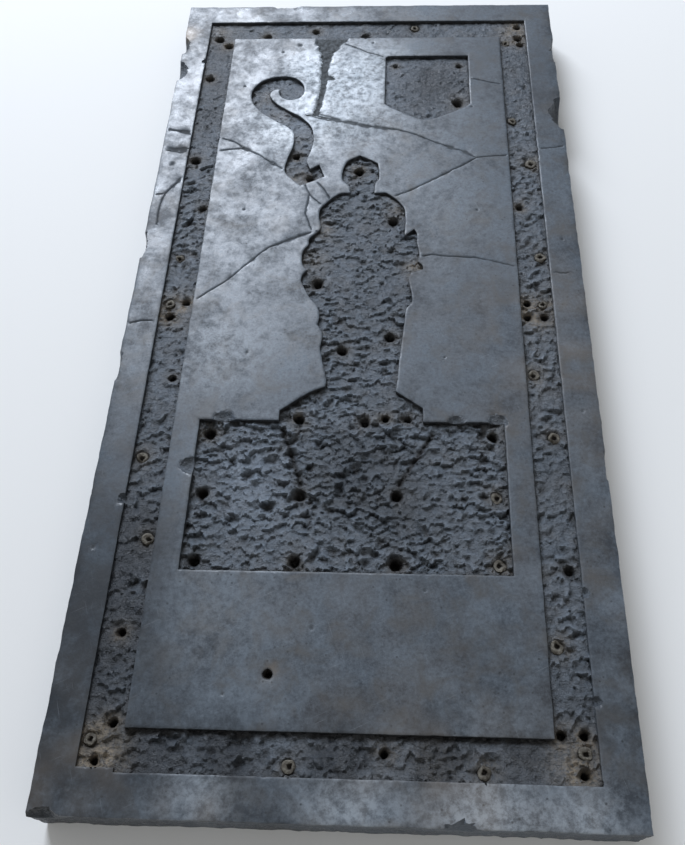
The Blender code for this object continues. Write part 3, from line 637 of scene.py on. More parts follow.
def all_holes():
    """Every dowel hole as x, y, radius and zone."""
    holes = []
    for run, places in RUN_HOLES.items():
        holes += [(*run_place(run, share, offset), radius, FILLET) for share, offset, radius in places]
    for plate, places in PLATE_HOLES.items():
        for x, y, radius in places:
            place = plate_centre(plate) + Vector((x, y)) * (FILLET_WIDTH / PLATE_PARTS)
            holes.append((*place, radius, FILLET))
    holes += [(*on_figure(part), part[2], FIGURE) for part in FIGURE_HOLES + HEM_HOLES]
    holes += [(*on_figure(part), part[2], CROZIER) for part in CROZIER_HOLES]
    rows = (PANEL_HEAD - PANEL_HEAD_INSET, (PANEL_HEAD + PANEL_FOOT) / 2, PANEL_FOOT + PANEL_FOOT_INSET)
    columns = (
        PANEL_LEFT + PANEL_SIDE_INSET, -PANEL_INNER_COLUMN, PANEL_INNER_COLUMN,
        PANEL_RIGHT - PANEL_SIDE_INSET,
    )
    for row, y in enumerate(rows):
        for column, x in enumerate(columns):
            if (row, column) not in PANEL_UNDRILLED:
                holes.append((x, y, PANEL_HOLE_RADIUS, FIGURE))
    right = FILLET_INNER[2] - SHIELD_FROM_RIGHT
    top = FILLET_INNER[3] - SHIELD_FROM_HEAD
    for x, y, radius in SHIELD_HOLES:
        holes.append((right + (x - 1) * SHIELD_WIDTH / 2, top - y * SHIELD_HEIGHT, radius, SHIELD))
    holes.append((FIELD_HOLE_X, PANEL_FOOT - FIELD_HOLE_BELOW_PANEL, FIELD_HOLE_RADIUS, FIELD))
    return np.array(holes)


BEDS = {
    FIGURE: [counter_clockwise(flowing(figure_outline(), OUTLINE_STEP))],
    CROZIER: [counter_clockwise(flowing(crozier_outline(), OUTLINE_STEP, 60))],
    SHIELD: [counter_clockwise(flowing(shield_outline(), OUTLINE_STEP))],
    FILLET: [counter_clockwise(flowing(outline, OUTLINE_STEP)) for outline in fillet_outlines()],
}
ROUGH_OUTLINES = {
    FIGURE: [np.array([tuple(point) for point in figure_outline()])],
    CROZIER: [BEDS[CROZIER][0][::2]],
    SHIELD: [np.array(shield_outline())],
    FILLET: [np.array(outline) for outline in fillet_outlines()],
}
HOLES = all_holes()
PLATES = [tuple(plate_centre(plate)) for plate in PLATE_HOLES]


def zones_of(places):
    """Tells the field and the beds apart, as numbers."""
    zones = np.full(len(places), FIELD)
    for zone, outlines in ROUGH_OUTLINES.items():
        inside = np.zeros(len(places), bool)
        for outline in outlines:
            inside ^= in_outline(places, outline)
        zones[inside] = zone
    return zones


# Chisel marks on the floors, as heights above the beds' level in cells of MARK_CELL

def cell_of(places):
    """Row and column of the raster's cell that holds each place."""
    column = np.clip(((places[:, 0] - LEFT) / MARK_CELL).astype(int), 0, round(SLAB_WIDTH / MARK_CELL) - 1)
    row = np.clip(((places[:, 1] - FOOT) / MARK_CELL).astype(int), 0, round(SLAB_LENGTH / MARK_CELL) - 1)
    return row, column


def chisel(marks, centres, style, turned, draw):
    """Strikes one bowl-shaped mark at each centre into the raster."""
    _, _, length, width, rise, stray, heading, wander = style
    reach = round(length * MARK_REACH / MARK_CELL)
    rows, columns = cell_of(centres)
    for centre, row, column, across in zip(centres, rows, columns, turned):
        top, left = max(row - reach, 0), max(column - reach, 0)
        patch = marks[top:row + reach, left:column + reach]
        y = FOOT + (top + 0.5 + np.arange(patch.shape[0])[:, None]) * MARK_CELL - centre[1]
        x = LEFT + (left + 0.5 + np.arange(patch.shape[1])[None, :]) * MARK_CELL - centre[0]
        angle = math.radians(heading + 90 * across + draw.normal(0.0, wander))
        along = (x * math.cos(angle) + y * math.sin(angle)) / (length * draw.uniform(*MARK_LENGTHS))
        beside = (y * math.cos(angle) - x * math.sin(angle)) / (width * draw.uniform(*MARK_WIDTHS))
        level = draw.normal(0.0, stray)
        steep = np.where(beside > 0, HEAD_SIDE_RISE, FOOT_SIDE_RISE)
        bowl = level + rise * (along**2 + steep * beside**2 - 0.5)
        np.minimum(patch, bowl, out=patch)


def mark_centres(west, south, east, north, style, draw):
    """A loose grid of places that are one pitch apart."""
    x, y = np.meshgrid(np.arange(west, east, style[0]), np.arange(south, north, style[1]))
    x[1::2] += style[0] / 2
    centres = np.stack((x.ravel(), y.ravel()), axis=1)
    return centres + draw.uniform(-MARK_STRAY, MARK_STRAY, centres.shape) * (style[0], style[1])


def make_marks():
    draw = np.random.default_rng(11)
    marks = np.full((round(SLAB_LENGTH / MARK_CELL), round(SLAB_WIDTH / MARK_CELL)), MARK_CAP)
    for zone, name in ((FIGURE, "figure"), (CROZIER, "fine"), (SHIELD, "strip"), (FILLET, "strip")):
        style = MARKS[name]
        outline = ROUGH_OUTLINES[zone][0]
        centres = mark_centres(*outline.min(axis=0), *outline.max(axis=0), style, draw)
        centres = centres[zones_of(centres) == zone]
        if zone == FIGURE:
            centres = centres[centres[:, 1] > PANEL_HEAD + 0.004]
        turned = np.zeros(len(centres))
        if zone == FILLET:
            ends = (centres[:, 1] < FILLET_INNER[1]) | (centres[:, 1] > FILLET_INNER[3])
            turned[~ends] = SIDE_RUN_TURN
        chisel(marks, centres, style, turned, draw)
    style = MARKS["panel"]
    centres = mark_centres(PANEL_LEFT, PANEL_FOOT, PANEL_RIGHT, PANEL_HEAD + 0.05, style, draw)
    centres = centres[zones_of(centres) == FIGURE]
    margin = np.minimum(centres[:, 0] - PANEL_LEFT, centres[:, 1] - PANEL_FOOT)
    centres = centres[(margin > PANEL_MARGIN) | (draw.uniform(size=len(centres)) < MARGIN_MARKS)]
    chisel(marks, centres, style, np.zeros(len(centres)), draw)
    return marks


MARKED = make_marks()


def floor_height(places, zones):
    """Height of the beds' floors."""
    in_panel = np.clip((PANEL_HEAD + HEM_SLOPE - places[:, 1]) / (2 * HEM_SLOPE), 0, 1) * (zones == FIGURE)
    height = FACE - BED_DEPTHS[zones] - (PANEL_DEPTH - FIGURE_DEPTH) * in_panel
    rough = (FIGURE_ROUGHNESS + PANEL_ROUGHNESS * in_panel) * (1 + drift(places, "roughness"))
    rough[zones == CROZIER] *= CROZIER_SHARE
    rough[zones == SHIELD] *= SHIELD_SHARE
    calm = FILLET_SHARE - CALM_LOSS * np.clip((places[:, 1] - CALM_FROM) / CALM_OVER, 0, 1)
    rough *= np.where(zones == FILLET, calm, 1.0)
    height += MARKED[cell_of(places)] * rough
    turn = np.where((zones == FILLET) | (zones == SHIELD), FLAKE_TURN, 0.0)
    turned = np.stack((
        places[:, 0] * np.cos(turn) + places[:, 1] * np.sin(turn),
        places[:, 1] * np.cos(turn) - places[:, 0] * np.sin(turn),
    ), axis=1)
    height += (flakes(turned, *LARGE_FLAKE) + flakes(turned, *SMALL_FLAKE)) * rough
    height += drift(places, "floor swell") * rough + drift(places, "floor dip") * rough
    height += drift(places, "floor grain")
    for x, y, radius, depth in HOLLOWS:
        away = distance_to(places, x, y) / radius
        height -= depth * np.clip(1 - away**2, 0, 1)
    bruises = np.random.default_rng(19).uniform(0.0, BRUISE_DEPTH, len(HOLES))
    ragged = 1 + drift(places, "bruise")
    for (x, y, radius, _), bruise in zip(HOLES, bruises):
        away = distance_to(places, x, y) / (radius * BRUISE_REACH)
        height -= bruise * np.clip(1 - away * ragged, 0, 1)
    for start, end in PLATE_JOINTS:
        away, _ = distance_to_line(places, np.array(start), np.array(end))
        height -= JOINT_DEPTH * np.clip(1 - away / (JOINT_WIDTH / 2), 0, 1)
    return np.minimum(height, FACE - LEAST_DEPTH)


def mortar_depth(places):
    """How far the mortar in the void at the head lies below the face."""
    deepest = np.zeros(len(places))
    ragged = 1 + drift(places, "mortar outline") + drift(places, "mortar teeth")
    stretches = [pair for line in MORTAR_LINES for pair in zip(line, line[1:])]
    for (x, y, width), (next_x, next_y, next_width) in stretches:
        away, share = distance_to_line(places, np.array((x, y)), np.array((next_x, next_y)))
        half = (width + (next_width - width) * share) / 2
        half *= ragged
        half += MORTAR_SPREAD
        deepest = np.maximum(deepest, np.clip((half - away) / MORTAR_SLOPE, 0, 1))
    mortar = deepest * (MORTAR_DEPTH + (drift(places, "mortar lumps") + drift(places, "mortar sand")))
    return np.where(places[:, 1] > MORTAR_LINES[0][-1][1] - 0.004, mortar, 0.0)


def chip_depth(places):
    """How far the broken edges and the bites lie below the face."""
    deepest = np.zeros(len(places))
    wander = 1 + drift(places, "chip outline") + drift(places, "chip teeth")
    for side, place, half, reach, depth in EDGE_CHIPS:
        edge = EDGES[side]
        across = places[:, 0] if side in ("left", "right") else places[:, 1]
        along = places[:, 1] if side in ("left", "right") else places[:, 0]
        fill = 1 - ((along - place) / half) ** 2 - ((across - edge) / (reach * wander)) ** 2
        deepest = np.maximum(deepest, depth * np.sqrt(np.clip(fill, 0, 1)))
    for x, y, radius in BED_BITES:
        fill = 1 - (distance_to(places, x, y) / (radius * wander)) ** 2
        deepest = np.maximum(deepest, BITE_DEPTH * np.clip(fill, 0, 1) ** 0.6)
    return deepest


def field_height(places):
    """Height of the polished face, which is worn into a gentle roll."""
    height = FACE + drift(places, "face roll") + drift(places, "face wave") - FACE_WEAR
    return height - np.maximum(chip_depth(places), mortar_depth(places))


def surface_height(places, zones):
    return np.where(zones == FIELD, field_height(places), floor_height(places, zones))


class Plan:
    """The places of the top surface, seen from above, with their heights, zones and linked edges."""

    def __init__(self):
        self.places = []
        self.heights = []
        self.zones = []
        self.edges = []
        self.count = 0
        self.taken = np.zeros((round(SLAB_LENGTH / MARK_CELL), round(SLAB_WIDTH / MARK_CELL)), bool)

    def add(self, places, heights, zones, linked=False, chained=False, keep_off=0.0):
        """Adds places, keeps later ones off them by keep_off, and returns their numbers."""
        numbers = self.count + np.arange(len(places))
        self.places.append(places)
        self.heights.append(heights)
        self.zones.append(np.broadcast_to(zones, len(places)))
        self.count += len(places)
        if linked:
            self.edges += list(zip(numbers.tolist(), np.roll(numbers, -1).tolist()))
        if chained:
            near = np.linalg.norm(np.diff(places, axis=0), axis=1) < CRACK_STEP * 1.8
            self.edges += list(zip(numbers[:-1][near].tolist(), numbers[1:][near].tolist()))
        self.stamp(places, keep_off)
        return numbers

    def stamp(self, places, radius):
        reach = math.ceil(radius / MARK_CELL)
        if reach < 1:
            return
        rows, columns = cell_of(places)
        for row in range(-reach, reach + 1):
            for column in range(-reach, reach + 1):
                if math.hypot(row, column) * MARK_CELL <= radius:
                    self.taken[
                        np.clip(rows + row, 0, self.taken.shape[0] - 1),
                        np.clip(columns + column, 0, self.taken.shape[1] - 1),
                    ] = True

    def free(self, places):
        """Those of the places that nothing has taken."""
        return places[inland(places, 0.006) & ~self.taken[cell_of(places)]]


def scattered(west, south, east, north, spacing, draw):
    """A loose hexagonal grid."""
    step = spacing * math.sqrt(0.75)
    x, y = np.meshgrid(np.arange(west, east, spacing), np.arange(south, north, step))
    x[1::2] += spacing / 2
    places = np.stack((x.ravel(), y.ravel()), axis=1)
    return places + draw.uniform(-POINT_STRAY, POINT_STRAY, places.shape) * spacing


def plan_edge(plan):
    """The slab's worn top edge: three rings, the first of which carries the sides."""
    corners = [(LEFT, FOOT), (RIGHT, FOOT), (RIGHT, HEAD), (LEFT, HEAD)]
    ring = flowing(corners, EDGE_STEP)
    into = inward(ring)
    # At the corners this points inwards along the diagonal
    into[np.abs(into).min(axis=1) > 0.3] *= 1.4
    stray = np.abs(drift(ring, "edge bow")) + np.abs(drift(ring, "edge nicks"))
    wear = 1 + drift(ring, "edge wear")
    rings = []
    for inset, drop in EDGE_RINGS:
        places = ring + into * (inset * wear + stray)[:, None]
        heights = field_height(places) - drop * wear
        rings.append(plan.add(places, heights, FIELD, linked=not rings, keep_off=KEEP_WIDE))
    return rings[0], into


def plan_walls(plan):
    """The upright walls of the beds, as a worn edge above and the foot of the wall below."""
    for zone, outlines in BEDS.items():
        for number, outline in enumerate(outlines):
            side = -1.0 if zone == FILLET and number == 1 else 1.0
            into = inward(outline) * side
            nick = np.clip(ripple(outline, NICK_SIZE, NICK_SEED + zone) - NICK_RARITY, 0, 1) * NICK_DEPTH
            bow = ripple(outline, WALL_BOW[0], BOW_SEED + zone, WALL_BOW[1])
            ragged = bow + drift(outline, "wall teeth")
            brink = outline + into * (ragged - nick)[:, None]
            outer = brink - into * ARRIS_SPREAD
            beside = (brink - into * BRINK_SPREAD)[::2]
            plan.add(beside, field_height(beside), FIELD, keep_off=KEEP_WIDE)
            foot = brink + into * (WALL_SPREAD + drift(outline, "wall foot"))[:, None]
            wear = BRINK_WEAR + np.abs(drift(outline, "brink wear")) + nick * 0.5
            plan.add(outer, field_height(outer), FIELD, keep_off=KEEP_NARROW)
            plan.add(brink, field_height(brink) - wear, FIELD, linked=True, keep_off=KEEP_NARROW)
            floor = np.minimum(floor_height(foot, np.full(len(foot), zone)), field_height(foot) - 0.001)
            plan.add(foot, floor, zone, linked=True, keep_off=KEEP_NARROW)


def plan_holes(plan):
    """Drilled holes: a ragged mouth, a wall that narrows, and the bottom."""
    turns = np.arange(HOLE_POINTS) * (math.tau / HOLE_POINTS)
    round_about = np.stack((np.cos(turns), np.sin(turns)), axis=1)
    for number, (x, y, radius, zone) in enumerate(HOLES):
        centre = np.array((x, y))
        ragged = 1 + 0.11 * ripple(round_about * 0.7 + number, 0.5, 61)
        ragged += 0.06 * ripple(round_about * 1.9 + number, 0.5, 62)
        zones = np.full(len(turns), int(zone))
        mouth = centre + round_about * (radius * ragged)[:, None]
        level = surface_height(mouth, zones)
        level = level * 0.6 + level.mean() * 0.4
        # The mouth has crumbled, the drill ran aside and some holes are shallow, each in its own way
        crumbled = 0.0010 + 0.0035 * abs(math.sin(number * 2.4))
        shallow = 0.35 * (number % 4 == 1)
        brim = centre + round_about * (radius * HOLE_BRIM * ragged)[:, None]
        plan.add(brim, surface_height(brim, zones) - 0.0003, zones, keep_off=0.0018)
        plan.stamp(centre[None, :], radius * 1.2)
        plan.add(mouth, level - crumbled * 0.5, zones)
        inside = np.full(len(turns), FILLET)
        for share, depth in HOLE_SECTION:
            aside = (1 - share) * radius * 0.35 * np.array((math.sin(number * 1.7), math.cos(number * 2.9)))
            ring = centre + aside + (mouth - centre) * share
            plan.add(ring, level - crumbled - DOWEL_DEPTH * depth * (1 - shallow), inside)
        plan.add((centre + aside)[None, :], np.array([level.mean() - DOWEL_DEPTH * 0.96]), FILLET)


def plan_cracks(plan):
    """Cracks in the face: the groove, its worn shoulders, and the face beside them."""
    groups = {"middle": [], "shoulder": [], "beside": []}
    for kinks in CRACKS[len(MORTAR_LINES):]:
        for (x, y, width), (next_x, next_y, next_width) in zip(kinks, kinks[1:]):
            start, end = np.array((x, y)), np.array((next_x, next_y))
            length = np.linalg.norm(end - start)
            count = max(2, round(length / CRACK_STEP))
            share = np.arange(count)[:, None] / count
            across = np.array((start[1] - end[1], end[0] - start[0])) / length
            line = start + share * (end - start)
            half = np.clip((width + (next_width - width) * share) / 2 * CRACK_SHARE, *CRACK_HALF)
            half = half * (1 + drift(line, "crack width")[:, None])
            line = line + across * (drift(line, "crack bow") + drift(line, "crack teeth"))[:, None]
            depth = np.clip(half[:, 0] * 0.8, *CRACK_DEPTH)
            hollow = np.clip((half[:, 0] - TROUGH_FROM) / TROUGH_OVER, *SHOULDER_SHARE)
            groups["middle"].append((line, depth))
            for side in (-1, 1):
                groups["shoulder"].append((line + across * half * side, depth * hollow))
                groups["beside"].append((line + across * (half + CRACK_MARGIN) * side, depth * 0))
    for name, keep_off in (("middle", 0.0014), ("shoulder", 0.0018), ("beside", 0.0030)):
        for line, depth in groups[name]:
            zones = zones_of(line)
            kept = inland(line, 0.007) & (zones == FIELD) & ~plan.taken[cell_of(line)]
            if kept.any():
                places = line[kept]
                plan.add(places, field_height(places) - depth[kept], FIELD, chained=name == "middle")
        for line, _ in groups[name]:
            plan.stamp(line, keep_off)


def plan_damage(plan, draw):
    """Close points where the face is broken or filled with mortar."""
    fields = [MORTAR_FIELD]
    for side, place, half, reach, _ in EDGE_CHIPS:
        edge = EDGES[side]
        if side in ("left", "right"):
            fields.append((edge, place, reach * 1.35, half * 1.05, CHIP_SPACING))
        else:
            fields.append((place, edge, half * 1.05, reach * 1.35, CHIP_SPACING))
    fields += [(x, y, radius * 1.3, radius * 1.3, BITE_SPACING) for x, y, radius in BED_BITES]
    fields += [(x, y, radius * 1.9, radius * 1.9, radius * 0.75) for x, y, radius in FACE_PITS]
    for x, y, half_width, half_length, spacing in fields:
        places = scattered(x - half_width, y - half_length, x + half_width, y + half_length, spacing, draw)
        places = plan.free(places)
        if len(places) == 0:
            continue
        places = places[zones_of(places) == FIELD]
        heights = field_height(places)
        for pit_x, pit_y, radius in FACE_PITS:
            away = distance_to(places, pit_x, pit_y) / radius
            heights -= PIT_DEPTH * np.clip(1.2 - away, 0, 1)
        plan.add(places, heights, FIELD, keep_off=spacing * 0.7)


def plan_floors(plan, draw):
    for zone, spacing in BED_SPACING.items():
        outline = ROUGH_OUTLINES[zone][0]
        places = scattered(*outline.min(axis=0), *outline.max(axis=0), spacing, draw)
        places = plan.free(places)
        places = places[zones_of(places) == zone]
        plan.add(places, floor_height(places, np.full(len(places), zone)), zone)


def plan_field(plan, draw):
    places = plan.free(scattered(LEFT, FOOT, RIGHT, HEAD, FIELD_SPACING, draw))
    places = places[zones_of(places) == FIELD]
    plan.add(places, field_height(places), FIELD)


def slab_surface():
    """Points and triangles of the whole stone, with the zone of each point."""
    draw = np.random.default_rng(7)
    plan = Plan()
    rim, into = plan_edge(plan)
    plan_walls(plan)
    plan_holes(plan)
    plan_cracks(plan)
    plan_damage(plan, draw)
    plan_floors(plan, draw)
    plan_field(plan, draw)
    places = np.concatenate(plan.places)
    heights = np.concatenate(plan.heights)
    zones = np.concatenate(plan.zones)
    found, _, faces, origins, _, _ = delaunay_2d_cdt(
        [Vector(place) for place in places.tolist()], plan.edges, [], 1, SAME_POINT
    )
    source = np.array([origin[0] if origin else -1 for origin in origins])
    top = np.zeros((len(found), 3))
    top[:, :2] = np.array([tuple(place) for place in found])
    top[:, 2] = heights[source]
    lost = source < 0
    top[lost, 2] = surface_height(top[lost, :2], zones_of(top[lost, :2]))
    zone = np.where(lost, FIELD, zones[source])
    number_of = {int(number): index for index, number in enumerate(source)}
    rim_points = np.array([number_of[int(number)] for number in rim])
    side, side_faces = slab_sides(top[rim_points], rim_points, into, len(top))
    triangles = [tuple(face) for face in faces] + side_faces
    return np.concatenate((top, side)), triangles, np.concatenate((zone, np.full(len(side), -1)))


def slab_sides(rim, rim_points, into, first):
    """The dressed sides below the top edge, and the flat underside."""
    rows = []
    faces = []
    count = len(rim)
    above = rim_points
    for row in range(1, SIDE_ROWS + 1):
        share = row / SIDE_ROWS
        height = rim[:, 2] * (1 - share)
        around = np.arange(count)[:, None] * EDGE_STEP
        spot = np.concatenate((around, height[:, None]), axis=1)
        hollow = np.abs(drift(spot, "side hollows")) + np.abs(drift(spot, "side pocks"))
        if row == SIDE_ROWS:
            hollow += 0.0010
        places = rim[:, :2] + into * np.minimum(hollow, hollow * share * 5)[:, None]
        rows.append(np.concatenate((places, height[:, None]), axis=1))
        below = first + (row - 1) * count + np.arange(count)
        for index in range(count):
            following = (index + 1) % count
            faces.append((above[index], below[index], below[following], above[following]))
        above = below
    faces.append(tuple(above[::-1]))
    return np.concatenate(rows), faces


# Masks that each point of the stone carries, from 0 to 1

# Soft spots as x, y, radius and strength: ochre on the chipped head corner and the lone hole, ochre
# drifts on the face, pale blooms that are partly painted sheen, and dark patches of damp and painted shade
CHIP_STAINS = (
    (LEFT + 0.012, 1.025, 0.030, 1.3), (LEFT + 0.010, 1.0, 0.020, 0.9),
    (*(HOLES[-1][:2] + 0.006), 0.014, 0.5),
)
FACE_STAINS = (
    (0.52, -0.10, 0.30, 0.18), (0.52, -0.60, 0.30, 0.08), (0.0, -0.78, 0.22, 0.07), (0.20, -1.12, 0.20, 0.22),
    (-0.48, -1.10, 0.10, 0.20), (-0.25, -1.145, 0.06, 0.30), (-0.53, -0.92, 0.10, 0.08),
)
BLOOMS_AND_SHEEN = (
    (-0.03, 0.78, 0.14, 1.0), (-0.19, 0.62, 0.12, 0.9), (-0.15, 0.86, 0.09, 0.8), (-0.21, 0.40, 0.12, 0.15),
    (-0.27, 0.15, 0.16, 0.1), (0.04, 0.90, 0.10, 0.4), (-0.02, 0.60, 0.10, 0.3), (0.20, 0.62, 0.16, 0.1),
    (0.24, 0.30, 0.16, 0.1), (-0.31, -0.15, 0.12, 0.25), (0.02, -1.11, 0.08, 0.5), (0.26, -1.12, 0.12, 0.6),
    (-0.24, -1.10, 0.08, 0.4), (0.44, -1.13, 0.07, 0.4), (-0.22, -0.45, 0.09, 0.8), (-0.18, -0.55, 0.07, 0.6),
    (-0.01, -0.33, 0.06, 0.4), (-0.26, -0.76, 0.16, 0.12),
)
SHADES = (
    (-0.54, -1.09, 0.15, 1.2), (-0.54, -0.92, 0.18, 1.3), (-0.54, -0.68, 0.18, 1.1),
    (-0.54, -0.42, 0.16, 0.5), (0.54, -0.95, 0.16, 0.6), (0.54, -0.45, 0.20, 0.3),
    (0.54, 0.05, 0.16, 0.1), (0.54, 0.85, 0.26, 0.4),
    (-0.13, -1.14, 0.06, 0.3), (-0.30, -1.15, 0.05, 0.4), (0.10, 0.02, 0.10, 0.2), (0.02, -0.44, 0.11, 0.7),
    (0.10, -0.56, 0.10, 0.5), (0.0, -1.035, 0.07, 1.5), (-0.43, -0.80, 0.07, 0.5), (-0.20, -1.035, 0.07, 1.3),
    (0.18, -1.035, 0.07, 1.2), (-0.43, -0.62, 0.07, 0.4), (0.19, 0.80, 0.12, 0.65), (-0.43, 0.95, 0.06, 0.85),
    (-0.43, 0.80, 0.06, 0.80), (-0.43, 0.65, 0.06, 0.75), (0.10, 1.03, 0.10, 0.4), (0.12, 0.66, 0.12, 0.15),
    (-0.33, -1.035, 0.07, 0.9), (0.33, -1.035, 0.07, 0.9), (-0.51, 0.80, 0.10, 0.12),
    (0.26, -0.85, 0.14, 0.18), (0.30, 0.15, 0.20, 0.12), (0.27, 0.56, 0.13, 0.14),
)

# Ochre round each plate's place, and the polish's share of the beds' ochre
PLATE_STAINS = (1.3, 1.1, 0.6, 0.8, 0.9, 1.0)
PLATE_STAIN_RADIUS = 0.050
POLISH_SHARE = 0.16

# Ochre and dark dirt round each hole: reach in radii, least and most strength
HOLE_STAIN = (1.9, 0.15, 0.95)
HOLE_DIRT = (1.45, 0.30, 1.00)

# Painted shade, with some dirt, where the floors sink deep, mostly in the holes, and dirt in the cracks:
# depth from which each starts, and depth over which it grows
DEEP_SHADE_AND_DIRT = (0.0045, 0.0090)
CRACK_DIRT = (0.0003, 0.0012)

# Painted shadow, with some dirt, below the walls on the side of the head, and along the foot run: reach and
# strength
WALL_SHADOW_AND_DIRT = (0.0045, 0.75)
FOOT_RUN_SHADOW_AND_DIRT = (0.0105, 0.62)

# Ochre in the figure's and the crozier's beds, as places in the figure's parts and strength
BED_STAIN_RADIUS = 0.035
BED_STAINS = (
    (143, 438, 1.0), (-112, 470, 0.8), (-95, 575, 0.7), (90, 640, 0.5), (-165, 900, 0.4), (-235, 990, 0.5),
    (-285, 1075, 0.4), (-170, 750, 0.7),
)


def split(table):
    """The centres and the strengths of a table of spots."""
    return [spot[:3] for spot in table], [spot[3] for spot in table]


def spots(places, centres, strengths):
    """Soft round spots added up: centres are x, y and radius."""
    total = np.zeros(len(places))
    for (x, y, radius), strength in zip(centres, strengths):
        away = distance_to(places, x, y) / radius
        total += strength * np.exp(-(away**2) * 1.2)
    return total


def stain_mask(points, zones):
    """Ochre of lead, rust and old mortar round the holes and on the corner plates."""
    places = points[:, :2]
    draw = np.random.default_rng(17)
    rings = [(x, y, radius * HOLE_STAIN[0]) for x, y, radius, _ in HOLES]
    mask = spots(places, rings, draw.uniform(*HOLE_STAIN[1:], len(rings)))
    mask += spots(places, [(x, y, PLATE_STAIN_RADIUS) for x, y in PLATES], PLATE_STAINS)
    beds = [(*on_figure(part), BED_STAIN_RADIUS) for part in BED_STAINS]
    mask += spots(places, beds, [part[2] for part in BED_STAINS])
    mask *= 0.75 + drift(places, "stain")
    mask = np.where(zones == FIELD, mask * POLISH_SHARE, mask)
    edge = spots(places, *split(CHIP_STAINS))
    edge += spots(places, *split(FACE_STAINS)) * np.clip(0.8 + drift(places, "patches"), 0, 2)
    # It fades down the sides
    edge *= np.clip(1 - (FACE - points[:, 2]) / 0.020, 0.15, 1)
    return np.clip(mask + edge, 0, 1)


def crest_wear_and_shade_mask(points, zones):
    """One on the ridges of the beds' floors and nothing in their hollows: lighter ridges and darker hollows,
    partly wear and dirt and partly painted shade.
    """
    rows = np.arange(FOOT + CREST_CELL / 2, HEAD, CREST_CELL)
    columns = np.arange(LEFT + CREST_CELL / 2, RIGHT, CREST_CELL)
    x, y = np.meshgrid(columns, rows)
    cells = np.stack((x.ravel(), y.ravel()), axis=1)
    level = (floor_height(cells, zones_of(cells)) - FACE).reshape(x.shape)
    reach = round(CREST_REACH / CREST_CELL)
    for axis in (0, 1):
        total = np.zeros_like(level)
        for shift in range(-reach, reach + 1):
            total += np.roll(level, shift, axis=axis)
        level = total / (2 * reach + 1)
    row = np.clip(((points[:, 1] - FOOT) / CREST_CELL).astype(int), 0, len(rows) - 1)
    column = np.clip(((points[:, 0] - LEFT) / CREST_CELL).astype(int), 0, len(columns) - 1)
    raised = points[:, 2] - FACE - level[row, column]
    return np.where(zones > FIELD, np.clip(0.5 + raised / CREST_RANGE, 0, 1), 0.5)


def grime_and_shade_mask(points, zones):
    """Dirt round the holes, in the cracks and the joints of the plates, with painted shade where the floors
    sink deep and painted shadow below the walls on the side of the head.
    """
    places = points[:, :2]
    below = FACE - points[:, 2]
    level = BED_DEPTHS[np.maximum(zones, FIELD)]
    level = np.where((zones == FIGURE) & (places[:, 1] < PANEL_HEAD), PANEL_DEPTH, level)
    # Painted shade, with some dirt, deep in the holes below the floors
    deep = np.where(zones > FIELD, np.clip((below - level - DEEP_SHADE_AND_DIRT[0]) / DEEP_SHADE_AND_DIRT[1], 0, 1), 0.0)
    sunk = field_height(places) - points[:, 2]
    on_face = (zones == FIELD) & inland(places, 0.008)
    crack = np.where(on_face, np.clip((sunk - CRACK_DIRT[0]) / CRACK_DIRT[1], 0, 1), 0.0)
    draw = np.random.default_rng(23)
    rings = [(x, y, radius * HOLE_DIRT[0]) for x, y, radius, _ in HOLES]
    smudge = spots(places, rings, draw.uniform(*HOLE_DIRT[1:], len(rings)))
    smudge *= np.where(zones > FIELD, 0.75 + drift(places, "smudge"), 0.35)
    for start, end in PLATE_JOINTS:
        away, _ = distance_to_line(places, np.array(start), np.array(end))
        smudge += 0.9 * np.clip(1 - away / JOINT_WIDTH, 0, 1)
    # Below the walls on the side of the head lies painted shadow with some dirt, widest along the foot run
    under_wall = (zones > FIELD) & (zones_of(places + (0.0, WALL_SHADOW_AND_DIRT[0])) == FIELD) & (below > 0.004)
    wall = np.where(under_wall, WALL_SHADOW_AND_DIRT[1], 0.0)
    in_foot_run = (zones == FILLET) & (places[:, 1] < FILLET_INNER[1])
    near_wall = in_foot_run & (zones_of(places + (0.0, FOOT_RUN_SHADOW_AND_DIRT[0])) == FIELD)
    patchy = FOOT_RUN_SHADOW_AND_DIRT[1] + drift(places, "foot run shadow and dirt")
    wall = np.maximum(wall, np.where(near_wall, patchy, 0.0))
    darkest = np.maximum.reduce((deep, crack * 0.85, smudge, wall))
    return np.clip(np.where(zones >= FIELD, darkest, 0.0), 0, 1)


def bloom_and_sheen_mask(points):
    """Pale clouds on the worn polish, strongest beside the crozier and the figure's head, where they are
    partly painted sheen.
    """
    return np.clip(spots(points[:, :2], *split(BLOOMS_AND_SHEEN)), 0, 1)


def shade_mask(points):
    """Darker patches of the stone: partly damp and dirt, partly painted shade."""
    places = points[:, :2]
    return np.clip(spots(places, *split(SHADES)) * (1 + drift(places, "shade")), 0, 1)


def linear(code):
    """A colour's linear values from its sRGB hex code."""
    values = [int(code[start:start + 2], 16) / 255 for start in (1, 3, 5)]
    return [v / 12.92 if v <= 0.04045 else ((v + 0.055) / 1.055) ** 2.4 for v in values] + [1.0]


def add_node(tree, kind, inputs=(), **settings):
    """Adds a node with its settings, and links or sets its inputs, given by name or number."""
    node = tree.nodes.new(kind)
    for name, value in settings.items():
        setattr(node, name, value)
    for socket, value in dict(inputs).items():
        if isinstance(value, bpy.types.NodeSocket):
            tree.links.new(value, node.inputs[socket])
        else:
            node.inputs[socket].default_value = value
    return node


def new_material(name):
    """A new material with its node tree and its shader."""
    material = bpy.data.materials.new(name)
    material.use_nodes = True
    tree = material.node_tree
    return material, tree, tree.nodes["Principled BSDF"]


